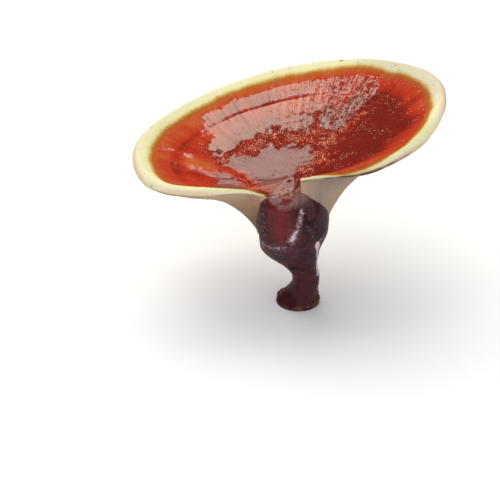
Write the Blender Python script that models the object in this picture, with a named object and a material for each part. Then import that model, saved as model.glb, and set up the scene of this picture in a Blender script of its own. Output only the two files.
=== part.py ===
"""A single reishi: a lacquered, kidney-shaped cap on a stout side stem, cut flat at the foot.

The body is lofted through closed outlines that are stacked from the foot, up the stem, out along
the underside, round the rim and back over the top to the hub. Sizes are millimetres in the tables
and become metres where the meshes are made. +Z is up, -Y faces the open channel of the cap, and
the origin is the middle of the cut foot.
"""

import math

import bmesh
import bpy
import numpy as np

MM = 0.001

# The hub of the cap: its place, its height and how much the top slopes there to the right and back
HUB = (-3.5, -14.0)
HUB_HEIGHT = 73.6
HUB_SLOPE = (0.24, 0.05)

# Thickness of the full rim and of the web of the cap beside the stem, and the gap between pieces
RIM_THICKNESS = 6.4
RIM_NOSE = 3.4
CAP_WEB = 5.0
SEAM_GAP = 0.6

# How sharply the top turns up to the rim, and the underside turns down to the stem
TOP_POWER = 2.1
ROOT_POWER = 4.0

# The growth furrow, a shallow ring near the margin: share of the way out, width and depth
FURROW_PLACE = 0.80
FURROW_WIDTH = 0.03
FURROW_DEPTH = 0.8

# The open channel, where the lacquered top runs down on to the stem between the two lobes
CHANNEL_LEFT_END = 227.0
CHANNEL_LEFT = 246.0
CHANNEL_RIGHT = 258.0
CHANNEL_RIGHT_END = 286.0
CHANNEL_ROLL = 0.14

# The valley down the front of the stem, between its two bulges: direction and half width
VALLEY_DIRECTION = 281.0
VALLEY_WIDTH = 21.0

# Points round each outline, closer together across the front where the lobes end
FRONT_FROM = 200.0
FRONT_TO = 330.0
CAP_POINTS = (46, 50)
STEM_POINTS = (30, 38)

# Height, tilt from front to back, centre x and y, reach left, right, front and back, valley depth
STEM_RINGS = (
    (0.0, 0.0, 0.0, 0.0, 10.5, 10.5, 11.0, 11.0, 0.0),
    (1.8, 0.0, 0.1, 0.0, 10.2, 10.2, 10.8, 10.8, 0.0),
    (4.6, 0.0, 1.0, -0.8, 8.6, 8.6, 9.6, 9.8, 0.0),
    (8.4, 0.0, 2.4, -2.0, 7.0, 7.2, 8.4, 8.8, 0.0),
    (13.2, -0.06, 3.5, -3.8, 6.5, 6.5, 7.9, 8.5, 0.0),
    (19.0, -0.16, 2.9, -6.5, 6.8, 6.7, 8.4, 8.9, 0.0),
    (25.0, -0.30, 1.1, -9.4, 9.2, 7.2, 10.4, 10.6, 0.6),
    (31.0, -0.40, -1.1, -12.5, 13.4, 9.7, 13.6, 13.0, 1.5),
    (36.0, -0.48, -3.1, -15.0, 14.8, 12.0, 15.8, 15.3, 2.2),
    (41.0, -0.58, -3.5, -16.4, 15.4, 14.2, 17.2, 16.8, 2.6),
    (46.0, -0.70, -3.5, -17.2, 15.8, 15.8, 17.6, 17.8, 2.6),
)

# Direction, reach from the hub and height of the shoulder, just below where cap and stem meet
SHOULDER = (
    (10, 16.6, 48.8), (30, 16.0, 43.6), (60, 15.4, 39.2), (90, 15.0, 37.2), (120, 15.2, 37.2),
    (160, 15.8, 39.8), (185, 16.4, 45.4), (204, 17.8, 52.4), (220, 20.4, 59.6), (236, 21.8, 63.4),
    (256, 20.2, 63.8), (272, 17.8, 63.2), (290, 16.8, 62.8), (306, 17.8, 61.6), (325, 17.5, 58.2),
    (346, 17.0, 53.8),
)

# The same for the crease, where the pale underside of the cap leaves the dark stem
CREASE = (
    (10, 16.8, 50.8), (30, 16.4, 45.6), (60, 16.0, 41.4), (90, 16.0, 39.4), (120, 16.4, 39.4),
    (160, 16.8, 42.2), (180, 17.0, 46.6), (196, 17.3, 52.4), (208, 18.2, 58.2), (216, 19.2, 62.0),
    (223, 20.6, 65.6), (229, 21.0, 68.2), (236, 20.0, 69.8), (246, 18.0, 70.4), (258, 16.2, 70.4),
    (272, 14.4, 70.6), (286, 13.5, 70.3), (304, 15.6, 67.0), (321, 16.1, 63.2), (346, 16.4, 56.4),
)

# The same for the middle of the rim
RIM = (
    (11, 68.2, 95.8), (23, 77.2, 98.0), (32, 81.8, 100.0), (40, 82.8, 101.2), (49, 80.8, 101.8),
    (60, 77.0, 101.7), (71, 73.4, 100.4), (87, 71.0, 97.0), (105, 71.4, 92.2), (121, 74.2, 87.0),
    (136, 77.0, 81.8), (149, 78.8, 77.4), (160, 78.2, 74.4), (170, 74.2, 72.2), (179, 68.8, 70.8),
    (188, 61.4, 70.4), (197, 52.4, 71.7), (206, 44.0, 73.2), (214, 36.0, 74.0), (221.5, 29.0, 73.6),
    (226, 25.0, 72.3), (230, 22.2, 71.0), (236, 19.2, 70.0), (246, 16.6, 70.0), (257, 13.8, 70.8),
    (270, 11.4, 72.8), (283, 10.6, 74.8), (297, 13.4, 76.4), (309, 18.0, 78.0), (320, 25.8, 80.1),
    (328.5, 33.4, 82.0), (337, 40.6, 84.2), (345, 47.9, 87.0), (354, 55.6, 90.1), (2, 61.8, 93.1),
)

# Direction and the rim's thickness as a share of its full one
RIM_SHARE = (
    (15, 1.06), (60, 0.94), (120, 0.94), (160, 1.0), (178, 1.04), (192, 0.92), (206, 0.70),
    (214, 0.48), (222, 0.32), (232, 0.20), (280, 0.20), (292, 0.26), (309, 0.36), (322, 0.52),
    (336, 0.82), (352, 1.0),
)

# How far out each outline of the underside and top lies, and the angles round the rim's nose
UNDERSIDE_PLACES = (0.05, 0.13, 0.24, 0.38, 0.55, 0.74, 0.90)
NOSE_ANGLES = (-60.0, -20.0, 20.0, 60.0)
TOP_PLACES = (1.0, 0.92, 0.85, 0.82, 0.80, 0.78, 0.75, 0.64, 0.50, 0.36, 0.22, 0.10)

COLOURS = {
    "cap": ((0.42, 0.055, 0.018), 0.25),
    "stem": ((0.045, 0.010, 0.014), 0.22),
}


def smooth_step(low, high, value):
    """0 below one edge, 1 above the other, and an S curve between them."""
    share = np.clip((value - low) / (high - low), 0.0, 1.0)
    return share * share * (3.0 - 2.0 * share)


def closed_curve(rows, degrees):
    """Reads a table of (direction, value, ...) rows as a smooth closed curve at each direction."""
    table = np.array(sorted(rows), float)
    keys = np.concatenate([table[:, 0] - 360.0, table[:, 0], table[:, 0] + 360.0])
    values = np.tile(table[:, 1:], (3, 1))
    slopes = np.gradient(values, keys, axis=0)
    place = np.searchsorted(keys, degrees, side="right") - 1
    width = (keys[place + 1] - keys[place])[:, None]
    t = (degrees - keys[place])[:, None] / width
    return (
        (2 * t**3 - 3 * t**2 + 1) * values[place]
        + (t**3 - 2 * t**2 + t) * width * slopes[place]
        + (3 * t**2 - 2 * t**3) * values[place + 1]
        + (t**3 - t**2) * width * slopes[place + 1]
    )


def directions(front_points, rear_points):
    """The directions, in degrees, of the points round an outline."""
    front = np.linspace(FRONT_FROM, FRONT_TO, front_points, endpoint=False)
    rear = np.linspace(FRONT_TO, FRONT_FROM + 360.0, rear_points, endpoint=False)
    return np.sort(np.concatenate([front, rear]) % 360.0)


def around_hub(degrees, reach, height):
    """Points at a reach from the hub and a height, one for each direction."""
    angle = np.radians(degrees)
    x = HUB[0] + reach * np.cos(angle)
    y = HUB[1] + reach * np.sin(angle)
    return np.column_stack([x, y, height])


def stem_ring(row, degrees):
    """One outline of the stem: four quarter ellipses, tilted, with the valley pressed in."""
    height, tilt, centre_x, centre_y, left, right, front, back, valley = row
    angle = np.radians(degrees)
    x = np.cos(angle) * np.where(np.cos(angle) < 0, left, right)
    y = np.sin(angle) * np.where(np.sin(angle) < 0, front, back)
    press = valley * np.exp(-(((degrees - VALLEY_DIRECTION) / VALLEY_WIDTH) ** 2))
    x = x - press * np.cos(angle)
    y = y - press * np.sin(angle)
    return np.column_stack([centre_x + x, centre_y + y, height + tilt * y])


def lobe_share(degrees):
    """1 where the cap has a lobe with a rim, 0 in the open channel at the front."""
    left = 1.0 - smooth_step(CHANNEL_LEFT_END, CHANNEL_LEFT, degrees)
    right = smooth_step(CHANNEL_RIGHT, CHANNEL_RIGHT_END, degrees)
    return np.maximum(left, right)


def top_height(degrees, place, edge_reach, edge_height):
    """Height at a share of the way from the hub to an edge: level slope first, then a rise."""
    angle = np.radians(degrees)
    slope = HUB_SLOPE[0] * np.cos(angle) + HUB_SLOPE[1] * np.sin(angle)
    rise = edge_height - HUB_HEIGHT - slope * edge_reach
    return HUB_HEIGHT + slope * edge_reach * place + rise * place**TOP_POWER


def furrow(place):
    """Depth of the growth furrow at a share of the way out."""
    return FURROW_DEPTH * np.exp(-(((place - FURROW_PLACE) / FURROW_WIDTH) ** 2))


def lobe_outlines(degrees):
    """The outlines of a cap with a rim all round, from the crease to just short of the hub."""
    crease_reach, crease_height = closed_curve(CREASE, degrees).T
    rim_reach, rim_height = closed_curve(RIM, degrees).T
    share = closed_curve(RIM_SHARE, degrees)[:, 0]
    nose = RIM_NOSE * share
    half = 0.5 * RIM_THICKNESS * share
    edge_reach = rim_reach - nose
    edge_height = rim_height + half

    def top_at(place):
        return top_height(degrees, place, edge_reach, edge_height) - furrow(place)

    start = np.minimum(crease_reach / edge_reach, 1.0)
    web = CAP_WEB * share
    root = top_at(start) - web - crease_height
    rings = [around_hub(degrees, crease_reach, crease_height)]
    for out in UNDERSIDE_PLACES:
        place = start + (1.0 - start) * out
        thickness = web + (2.0 * half - web) * out + root * (1.0 - out) ** ROOT_POWER
        reach = crease_reach + (edge_reach - crease_reach) * out
        rings.append(around_hub(degrees, reach, top_at(place) - thickness))
    for turn in np.radians(NOSE_ANGLES):
        height = rim_height + half * math.sin(turn)
        rings.append(around_hub(degrees, edge_reach + nose * math.cos(turn), height))
    for place in TOP_PLACES:
        rings.append(around_hub(degrees, edge_reach * place, top_at(place)))
    return rings


def channel_outlines(degrees):
    """The outlines of a rimless cap, whose top rolls straight over on to the stem."""
    crease_reach, crease_height = closed_curve(CREASE, degrees).T
    roll_steps = 1 + len(UNDERSIDE_PLACES) + len(NOSE_ANGLES)
    places = [1.0 - CHANNEL_ROLL * step / roll_steps for step in range(roll_steps)]
    places += [(1.0 - CHANNEL_ROLL) * place for place in TOP_PLACES]
    rings = []
    for place in places:
        height = top_height(degrees, place, crease_reach, crease_height)
        rings.append(around_hub(degrees, crease_reach * place, height))
    return rings


def cap_outlines(degrees):
    """The cap's outlines: lobes with a rim, joined across the open channel."""
    lobes = lobe_outlines(degrees)
    channel = channel_outlines(degrees)
    share = lobe_share(degrees)[:, None]
    return [inner + (outer - inner) * share for inner, outer in zip(channel, lobes)]


def stem_outlines(degrees):
    """The stem's outlines from the foot to the crease, with one more between each two."""
    rings = [stem_ring(row, degrees) for row in STEM_RINGS]
    rings.append(around_hub(degrees, *closed_curve(SHOULDER, degrees).T))
    rings.append(around_hub(degrees, *closed_curve(CREASE, degrees).T))
    padded = [2 * rings[0] - rings[1], *rings, 2 * rings[-1] - rings[-2]]
    stack = []
    for before, here, after, beyond in zip(padded, padded[1:], padded[2:], padded[3:]):
        stack.append(here)
        stack.append((9.0 * (here + after) - before - beyond) / 16.0)
    stack.append(rings[-1])
    return stack


def web_outlines(crease, centre):
    """Outlines drawn in from the crease to its centre, which close a solid there."""
    return [centre + (crease - centre) * share for share in (0.66, 0.33)]


def web_normal(crease, centre):
    """The mean upward direction of the web across the crease."""
    spokes = crease - centre
    total = np.cross(spokes, np.roll(spokes, -1, axis=0)).sum(axis=0)
    return total / np.linalg.norm(total)


def solid(name, start, rings, end):
    """One closed body: a first point, its outlines in order and a last point."""
    body = bmesh.new()
    loops = [[body.verts.new(point * MM) for point in ring] for ring in rings]
    first = body.verts.new(np.asarray(start) * MM)
    last = body.verts.new(np.asarray(end) * MM)
    count = len(loops[0])
    for i in range(count):
        j = (i + 1) % count
        body.faces.new((first, loops[0][j], loops[0][i]))
        for lower, upper in zip(loops, loops[1:]):
            body.faces.new((lower[i], lower[j], upper[j], upper[i]))
        body.faces.new((last, loops[-1][i], loops[-1][j]))
    bmesh.ops.recalc_face_normals(body, faces=body.faces)
    mesh = bpy.data.meshes.new(name)
    body.to_mesh(mesh)
    body.free()
    mesh.shade_smooth()
    mesh.set_sharp_from_angle(angle=math.radians(50.0))
    item = bpy.data.objects.new(name, mesh)
    bpy.context.scene.collection.objects.link(item)
    return item


def paint(item):
    """Gives an object its own plain lacquer material."""
    colour, roughness = COLOURS[item.name]
    material = bpy.data.materials.new(item.name)
    material.use_nodes = True
    shader = material.node_tree.nodes["Principled BSDF"]
    shader.inputs["Base Color"].default_value = (*colour, 1.0)
    shader.inputs["Roughness"].default_value = roughness
    shader.inputs["Metallic"].default_value = 0.0
    item.data.materials.append(material)


def make_cap():
    """The cap: its outlines, closed across the crease and over the hub."""
    rings = cap_outlines(directions(*CAP_POINTS))
    centre = rings[0].mean(axis=0)
    web = web_outlines(rings[0], centre)[::-1]
    paint(solid("cap", centre, [*web, *rings], (*HUB, HUB_HEIGHT)))


def make_stem():
    """The stem: its outlines from the flat cut foot to just short of the crease."""
    rings = stem_outlines(directions(*STEM_POINTS))
    centre = rings[-1].mean(axis=0)
    gap = web_normal(rings[-1], centre) * SEAM_GAP
    rings[-1] = rings[-1] - gap
    web = web_outlines(rings[-1], centre - gap)
    foot = rings[0].mean(axis=0)
    paint(solid("stem", foot, [*rings, *web], centre - gap))


def main():
    """Clears the scene, then makes the two pieces."""
    for item in list(bpy.data.objects):
        bpy.data.objects.remove(item)
    make_cap()
    make_stem()


main()
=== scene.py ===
"""Looks for one reishi mushroom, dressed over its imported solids.

The whole skin is one surface, a function of the direction round the hub and of the way from the
cut foot, up the stem, out along the underside, round the rim and back over the top to the hub. It
is worked out on one grid and cut at the crease into the two pieces that replace the solids, so
that lacquer and light run on over the join. Sizes in the tables are millimetres.
"""

import itertools
import logging
import math
from dataclasses import dataclass, field
from enum import Enum
from typing import Any

import bpy
import numpy as np
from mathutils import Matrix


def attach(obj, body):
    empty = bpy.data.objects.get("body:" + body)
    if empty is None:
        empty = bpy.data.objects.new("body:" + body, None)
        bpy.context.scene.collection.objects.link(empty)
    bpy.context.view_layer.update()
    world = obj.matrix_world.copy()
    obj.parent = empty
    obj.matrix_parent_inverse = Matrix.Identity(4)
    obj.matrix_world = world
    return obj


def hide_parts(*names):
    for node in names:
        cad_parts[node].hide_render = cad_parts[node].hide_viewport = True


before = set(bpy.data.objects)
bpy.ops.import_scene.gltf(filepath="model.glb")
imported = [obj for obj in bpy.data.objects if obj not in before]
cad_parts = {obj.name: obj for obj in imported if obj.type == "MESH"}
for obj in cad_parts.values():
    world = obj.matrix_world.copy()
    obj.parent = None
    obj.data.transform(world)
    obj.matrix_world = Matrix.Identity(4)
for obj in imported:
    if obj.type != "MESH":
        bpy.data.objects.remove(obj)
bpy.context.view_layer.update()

Array = np.ndarray
Colour = tuple[float, float, float]
Table = tuple[tuple[float, ...], ...]
Stops = tuple[tuple[float, Colour], ...]

MM = 0.001
HALF = 0.5
TINY = 1e-12

# What the random numbers of the noise are mixed with.
CELL_PRIMES = (73856093, 19349663, 83492791)
SEED_PRIME = 2654435761
MIXING_ROUNDS = ((15, 2246822519), (13, 3266489917))
LAST_SHIFT = 16
LOW_BITS = 0xFFFFFF

# The Mix node's sockets by number, because their names A, B and Result come once for each type.
MIX_SHARE = 0
MIX_NUMBERS = (2, 3)
MIX_COLOURS = (6, 7)
MIX_COLOUR_RESULT = 2

log = logging.getLogger("reishi")


class Node(Enum):
    """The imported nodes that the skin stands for."""

    CAP = "cap"
    STEM = "stem"


class Mask(Enum):
    """What each point of the skin tells its material."""

    EDGE = "edge_mm"
    ZONE = "zone"
    POLAR = "polar"
    SHEEN = "lacquer"
    DARK = "dark"
    BLUSH = "blush"
    ROUGH = "rough"
    GLOSS = "gloss"
    RIPE = "ripe"
    # painted reflections on the stem and on the open channel
    BLOOM = "bloom"
    UNDER = "under"
    # painted shade under the rim
    LIP_SHADOW = "lip"
    SOIL = "soil"
    PIT = "pit"


@dataclass(frozen=True)
class Span:
    """A soft step from one value to another, which may be the lower one."""

    start: float
    end: float

    def of(self, value: Array) -> Array:
        """0 at the start, 1 at the end, and an S curve, 3t^2 - 2t^3, between them.

        Args:
            value: what is read.

        Returns:
            The share at each value.
        """
        share = np.clip((value - self.start) / (self.end - self.start), 0.0, 1.0)
        return share * share * (3.0 - 2.0 * share)


@dataclass(frozen=True)
class Bell:
    """A bell curve, exp(-((value - centre) / width)^2)."""

    centre: float
    width: float

    def of(self, value: Array) -> Array:
        """The curve's height at each value."""
        return np.exp(-(((value - self.centre) / self.width) ** 2))


def lattice(cells: Array, seed: int) -> Array:
    """A fixed random number from -1 to 1 for each whole-numbered cell.

    The cell's numbers and the seed, each multiplied by a large prime, are joined by exclusive or.
    Shifts and more primes mix the result, whose low bits are read as a share.

    Args:
        cells: whole numbers, three in the last axis.
        seed: which set of numbers.

    Returns:
        One number for each cell.
    """
    keys = cells.astype(np.int64).astype(np.uint64) * np.array(CELL_PRIMES, np.uint64)
    mixed = np.bitwise_xor.reduce(keys, axis=-1) ^ np.uint64(seed * SEED_PRIME % 2**32)
    for shift, prime in MIXING_ROUNDS:
        mixed ^= mixed >> np.uint64(shift)
        mixed *= np.uint64(prime)
    mixed ^= mixed >> np.uint64(LAST_SHIFT)
    return (mixed & np.uint64(LOW_BITS)).astype(float) / (HALF * LOW_BITS) - 1.0


def noise(points: Array, cell: float, seed: int) -> Array:
    """Smooth noise from -1 to 1: random numbers at the corners of cubes, eased between them.

    Args:
        points: places, three numbers in the last axis.
        cell: the side of a cube.
        seed: which noise.

    Returns:
        The noise at each place.
    """
    scaled = points / cell
    base = np.floor(scaled)
    part = scaled - base
    part = part * part * (3.0 - 2.0 * part)
    total = np.zeros(points.shape[:-1])
    for corner in np.ndindex(2, 2, 2):
        weight = np.prod(np.where(np.array(corner) == 1, part, 1.0 - part), axis=-1)
        total += weight * lattice(base + np.array(corner), seed)
    return total


@dataclass(frozen=True)
class Grain:
    """Smooth noise in space of a stated size, whose cells may be stretched."""

    seed: int
    cell: float = 1.0
    size: float = 1.0
    stretch: tuple[float, float, float] = (1.0, 1.0, 1.0)

    def at(self, points: Array) -> Array:
        """The noise at each point, from -size to size."""
        return self.size * noise(points * np.array(self.stretch), self.cell, self.seed)


Grains = tuple[Grain, ...]


def together(grains: Grains, points: Array) -> Array:
    """The sum of several noises at each point."""
    return sum(grain.at(points) for grain in grains)


@dataclass(frozen=True)
class ClosedCurve:
    """A table of (direction in degrees, value, ...) rows, read as a smooth closed curve."""

    rows: Table

    def at(self, degrees: Array) -> Array:
        """Reads the table by a cubic through its rows, whose slopes are the mean of both sides.

        Args:
            degrees: the directions.

        Returns:
            One array for each value of the table, in its order.
        """
        table = np.array(sorted(self.rows), float)
        keys = np.concatenate([table[:, 0] - 360.0, table[:, 0], table[:, 0] + 360.0])
        values = np.tile(table[:, 1:], (3, 1))
        slopes = np.gradient(values, keys, axis=0)
        place = np.searchsorted(keys, degrees, side="right") - 1
        width = (keys[place + 1] - keys[place])[:, None]
        t = (degrees - keys[place])[:, None] / width
        read = (
            (2 * t**3 - 3 * t**2 + 1) * values[place]
            + (t**3 - 2 * t**2 + t) * width * slopes[place]
            + (3 * t**2 - 2 * t**3) * values[place + 1]
            + (t**3 - t**2) * width * slopes[place + 1]
        )
        return read.T


@dataclass(frozen=True)
class Stroke:
    """A soft stroke on the skin, through a few places in plan or in space."""

    width: float
    places: Table
    strength: float = 1.0

    def share(self, points: Array) -> Array:
        """A bell curve of the distance to the line from place to place.

        Args:
            points: the skin's points.

        Returns:
            1 on the line, and less and less beside it.
        """
        places = np.array(self.places, float)
        points = points[..., : places.shape[1]]
        nearest = np.full(points.shape[:-1], np.inf)
        for start, end in zip(places, places[1:] if len(places) > 1 else places):
            along = end - start
            part = np.clip((points - start) @ along / max(along @ along, TINY), 0.0, 1.0)
            gap = np.linalg.norm(points - start - part[..., None] * along, axis=-1)
            nearest = np.minimum(nearest, gap)
        return self.strength * np.exp(-((nearest / self.width) ** 2))


Strokes = tuple[Stroke, ...]


def strongest(strokes: Strokes, points: Array) -> Array:
    """The strongest of several strokes at each point."""
    return np.maximum.reduce([stroke.share(points) for stroke in strokes])


@dataclass(frozen=True)
class Hub:
    """The hub of the cap: its place in plan, its height and how the top slopes there."""

    x: float = -3.5
    y: float = -14.0
    height: float = 73.6
    slope: tuple[float, float] = (0.24, 0.05)

    def around(self, degrees: Array, reach: Array, height: Array) -> Array:
        """Points at a reach from the hub and a height, in each direction.

        Args:
            degrees: the directions, one for each column.
            reach: the reach from the hub, one row for each outline.
            height: the height, likewise.

        Returns:
            The points, with x, y and z in the last axis.
        """
        angle = np.radians(degrees)
        reach, height = np.broadcast_arrays(reach, height)
        x = self.x + reach * np.cos(angle)
        y = self.y + reach * np.sin(angle)
        return np.stack([x, y, height], axis=-1)


@dataclass(frozen=True)
class StemForm:
    """The stem from the cut foot to the crease, as a stack of outlines.

    Each outline has its height, its tilt towards the back, its centre, its reach to the left,
    to the right, to the front and to the back, and how deep the valley is pressed in.
    """

    crease: ClosedCurve
    hub: Hub = Hub()
    valley: Bell = Bell(281.0, 21.0)
    outlines: Table = (
        (0.0, 0.0, 0.0, 0.0, 10.5, 10.5, 11.0, 11.0, 0.0),
        (1.8, 0.0, 0.1, 0.0, 10.2, 10.2, 10.8, 10.8, 0.0),
        (4.6, 0.0, 1.0, -0.8, 8.6, 8.6, 9.6, 9.8, 0.0),
        (8.4, 0.0, 2.4, -2.0, 7.0, 7.2, 8.4, 8.8, 0.0),
        (13.2, -0.06, 3.5, -3.8, 6.5, 6.5, 7.9, 8.5, 0.0),
        (19.0, -0.16, 2.9, -6.5, 6.8, 6.7, 8.4, 8.9, 0.0),
        (25.0, -0.30, 1.1, -9.4, 9.2, 7.2, 10.4, 10.6, 0.6),
        (31.0, -0.40, -1.1, -12.5, 13.4, 9.7, 13.6, 13.0, 1.5),
        (36.0, -0.48, -3.1, -15.0, 14.8, 12.0, 15.8, 15.3, 2.2),
        (41.0, -0.58, -3.5, -16.4, 15.4, 14.2, 17.2, 16.8, 2.6),
        (46.0, -0.70, -3.5, -17.2, 15.8, 15.8, 17.6, 17.8, 2.6),
    )
    shoulder: ClosedCurve = ClosedCurve((
        (10, 16.6, 48.8), (30, 16.0, 43.6), (60, 15.4, 39.2), (90, 15.0, 37.2), (120, 15.2, 37.2),
        (160, 15.8, 39.8), (185, 16.4, 45.4), (204, 17.8, 52.4), (220, 20.4, 59.6), (236, 21.8, 63.4),
        (256, 20.2, 63.8), (272, 17.8, 63.2), (290, 16.8, 62.8), (306, 17.8, 61.6), (325, 17.5, 58.2),
        (346, 17.0, 53.8),
    ))

    def knots(self, degrees: Array) -> Array:
        """The outlines that the stem passes through: tilted ones of four quarter ellipses, with
        the valley pressed in by a bell curve of the direction, then the shoulder and the crease.

        Args:
            degrees: the directions of the points.

        Returns:
            The outlines from the foot up, each a row of points.
        """
        height, tilt, centre_x, centre_y, left, right, front, back, depth = (
            np.array(self.outlines).T[:, :, None]
        )
        cos, sin = np.cos(np.radians(degrees)), np.sin(np.radians(degrees))
        press = depth * self.valley.of(degrees)
        x = cos * np.where(cos < 0, left, right) - press * cos
        y = sin * np.where(sin < 0, front, back) - press * sin
        low = np.stack([centre_x + x, centre_y + y, height + tilt * y], axis=-1)
        shoulder = self.hub.around(degrees, *self.shoulder.at(degrees))
        crease = self.hub.around(degrees, *self.crease.at(degrees))
        return np.concatenate([low, shoulder[None], crease[None]])

    def surface(self, degrees: Array, way: Array) -> Array:
        """The stem's points by a cubic through each four outlines in turn.

        Args:
            degrees: the directions of the columns.
            way: where each row lies, counted in outlines from the foot.

        Returns:
            A grid of points, with a row for each way and a column for each direction.
        """
        knots = self.knots(degrees)
        padded = np.concatenate([
            2 * knots[:1] - knots[1:2], knots, 2 * knots[-1:] - knots[-2:-1]
        ])
        base = np.clip(np.floor(way).astype(int), 0, len(knots) - 2)
        t = (way - base)[:, None, None]
        before, here, after, beyond = (padded[base + step] for step in range(4))
        return 0.5 * (
            2 * here
            + (after - before) * t
            + (2 * before - 5 * here + 4 * after - beyond) * t**2
            + (3 * here - before - 3 * after + beyond) * t**3
        )


@dataclass(frozen=True)
class CapForm:
    """The cap from the crease, along the underside and round the rim, to the hub."""

    crease: ClosedCurve
    hub: Hub = Hub()
    rim_thickness: float = 6.4
    rim_nose: float = 3.4
    web: float = 5.0
    top_power: float = 2.1
    root_power: float = 4.0
    furrow: Bell = Bell(0.775, 0.012)
    furrow_depth: float = 0.4
    furrow_least: float = 0.2
    furrow_direction: Bell = Bell(98.0, 62.0)
    left_end: Span = Span(246.0, 227.0)
    right_start: Span = Span(258.0, 286.0)
    channel_roll: float = 0.14
    under_steps: float = 7.4
    roll_steps: float = 12.0
    under_power: float = 1.6
    rim: ClosedCurve = ClosedCurve((
        (11, 68.2, 95.8), (23, 77.2, 98.0), (32, 81.8, 100.0), (40, 82.8, 101.2), (49, 80.8, 101.8),
        (60, 77.0, 101.7), (71, 73.4, 100.4), (87, 71.0, 97.0), (105, 71.4, 92.2), (121, 74.2, 87.0),
        (136, 77.0, 81.8), (149, 78.8, 77.4), (160, 78.2, 74.4), (170, 74.2, 72.2), (179, 68.8, 70.8),
        (188, 61.4, 70.4), (197, 52.4, 71.7), (206, 44.0, 73.2), (214, 36.0, 74.0), (221.5, 29.0, 73.6),
        (226, 25.0, 72.3), (230, 22.2, 71.0), (236, 19.2, 70.0), (246, 16.6, 70.0), (257, 13.8, 70.8),
        (270, 11.4, 72.8), (283, 10.6, 74.8), (297, 13.4, 76.4), (309, 18.0, 78.0), (320, 25.8, 80.1),
        (328.5, 33.4, 82.0), (337, 40.6, 84.2), (345, 47.9, 87.0), (354, 55.6, 90.1), (2, 61.8, 93.1),
    ))
    rim_share: ClosedCurve = ClosedCurve((
        (15, 1.06), (60, 0.94), (120, 0.94), (160, 1.0), (178, 1.04), (192, 0.92), (206, 0.70),
        (214, 0.48), (222, 0.32), (232, 0.20), (280, 0.20), (292, 0.26), (309, 0.36), (322, 0.52),
        (336, 0.82), (352, 1.0),
    ))

    def lobe_share(self, degrees: Array) -> Array:
        """1 where the cap has a lobe with a rim, 0 in the open channel at the front."""
        return np.maximum(self.left_end.of(degrees), self.right_start.of(degrees))

    def top(self, degrees: Array, place: Array, reach: Array, height: Array) -> Array:
        """Height of the top at a share of the way from the hub to an edge.

        It leaves the hub along the hub's slope, and a power of the share brings it to the edge.

        Args:
            degrees: the directions.
            place: the share of the way out.
            reach: the edge's reach.
            height: the edge's height.

        Returns:
            The heights.
        """
        angle = np.radians(degrees)
        slope = self.hub.slope[0] * np.cos(angle) + self.hub.slope[1] * np.sin(angle)
        rise = height - self.hub.height - slope * reach
        return self.hub.height + slope * reach * place + rise * place**self.top_power

    def edge(self, degrees: Array) -> tuple[Array, Array, Array, Array]:
        """The outer edge of the top, and the rim beyond it.

        Args:
            degrees: the directions.

        Returns:
            The edge's reach and height, and the rim's nose and half thickness.
        """
        rim_reach, rim_height = self.rim.at(degrees)
        share = self.rim_share.at(degrees)[0]
        nose, half = self.rim_nose * share, 0.5 * self.rim_thickness * share
        return rim_reach - nose, rim_height + half, nose, half

    def lobe_top(self, degrees: Array, place: Array) -> Array:
        """Height of a lobe's top, with the growth furrow, a bell-shaped groove, taken out.

        Args:
            degrees: the directions.
            place: the share of the way from the hub to the edge.

        Returns:
            The heights.
        """
        reach, height, _, _ = self.edge(degrees)
        share = self.furrow_least + (1.0 - self.furrow_least) * self.furrow_direction.of(degrees)
        furrow = self.furrow_depth * share * self.furrow.of(place)
        return self.top(degrees, place, reach, height) - furrow

    def underside(self, degrees: Array, out: Array) -> Array:
        """The underside of the lobes: the top less a thickness, which goes from the web to the
        rim in a straight line and grows to meet the stem by a high power of the way back.

        Args:
            degrees: the directions.
            out: share of the way from the crease to the rim, one for each row.

        Returns:
            The grid of points.
        """
        edge_reach, _, _, half = self.edge(degrees)
        share = self.rim_share.at(degrees)[0]
        crease_reach, crease_height = self.crease.at(degrees)
        start = np.minimum(crease_reach / edge_reach, 1.0)
        web = self.web * share
        root = self.lobe_top(degrees, start) - web - crease_height
        out = out[:, None]
        thickness = web + (2.0 * half - web) * out + root * (1.0 - out) ** self.root_power
        height = self.lobe_top(degrees, start + (1.0 - start) * out) - thickness
        reach = crease_reach + (edge_reach - crease_reach) * out
        return self.hub.around(degrees, reach, height)

    def nose(self, degrees: Array, turn: Array) -> Array:
        """The rounded rim, half an ellipse from below to above.

        Args:
            degrees: the directions of the columns.
            turn: the angle round the rim in radians, one for each row.

        Returns:
            The grid of points.
        """
        edge_reach, edge_height, nose, half = self.edge(degrees)
        turn = turn[:, None]
        reach = edge_reach + nose * np.cos(turn)
        return self.hub.around(degrees, reach, edge_height - half + half * np.sin(turn))

    def crown(self, degrees: Array, place: Array) -> Array:
        """The lobes' top.

        Args:
            degrees: the directions of the columns.
            place: the share of the way out, one for each row.

        Returns:
            The grid of points.
        """
        place = place[:, None]
        reach = self.edge(degrees)[0] * place
        return self.hub.around(degrees, reach, self.lobe_top(degrees, place))

    def gully(self, degrees: Array, place: Array) -> Array:
        """The open channel's top.

        Args:
            degrees: the directions of the columns.
            place: the share of the way from the hub to the crease, one for each row.

        Returns:
            The grid of points.
        """
        crease_reach, crease_height = self.crease.at(degrees)
        place = place[:, None]
        height = self.top(degrees, place, crease_reach, crease_height)
        return self.hub.around(degrees, crease_reach * place, height)

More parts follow.
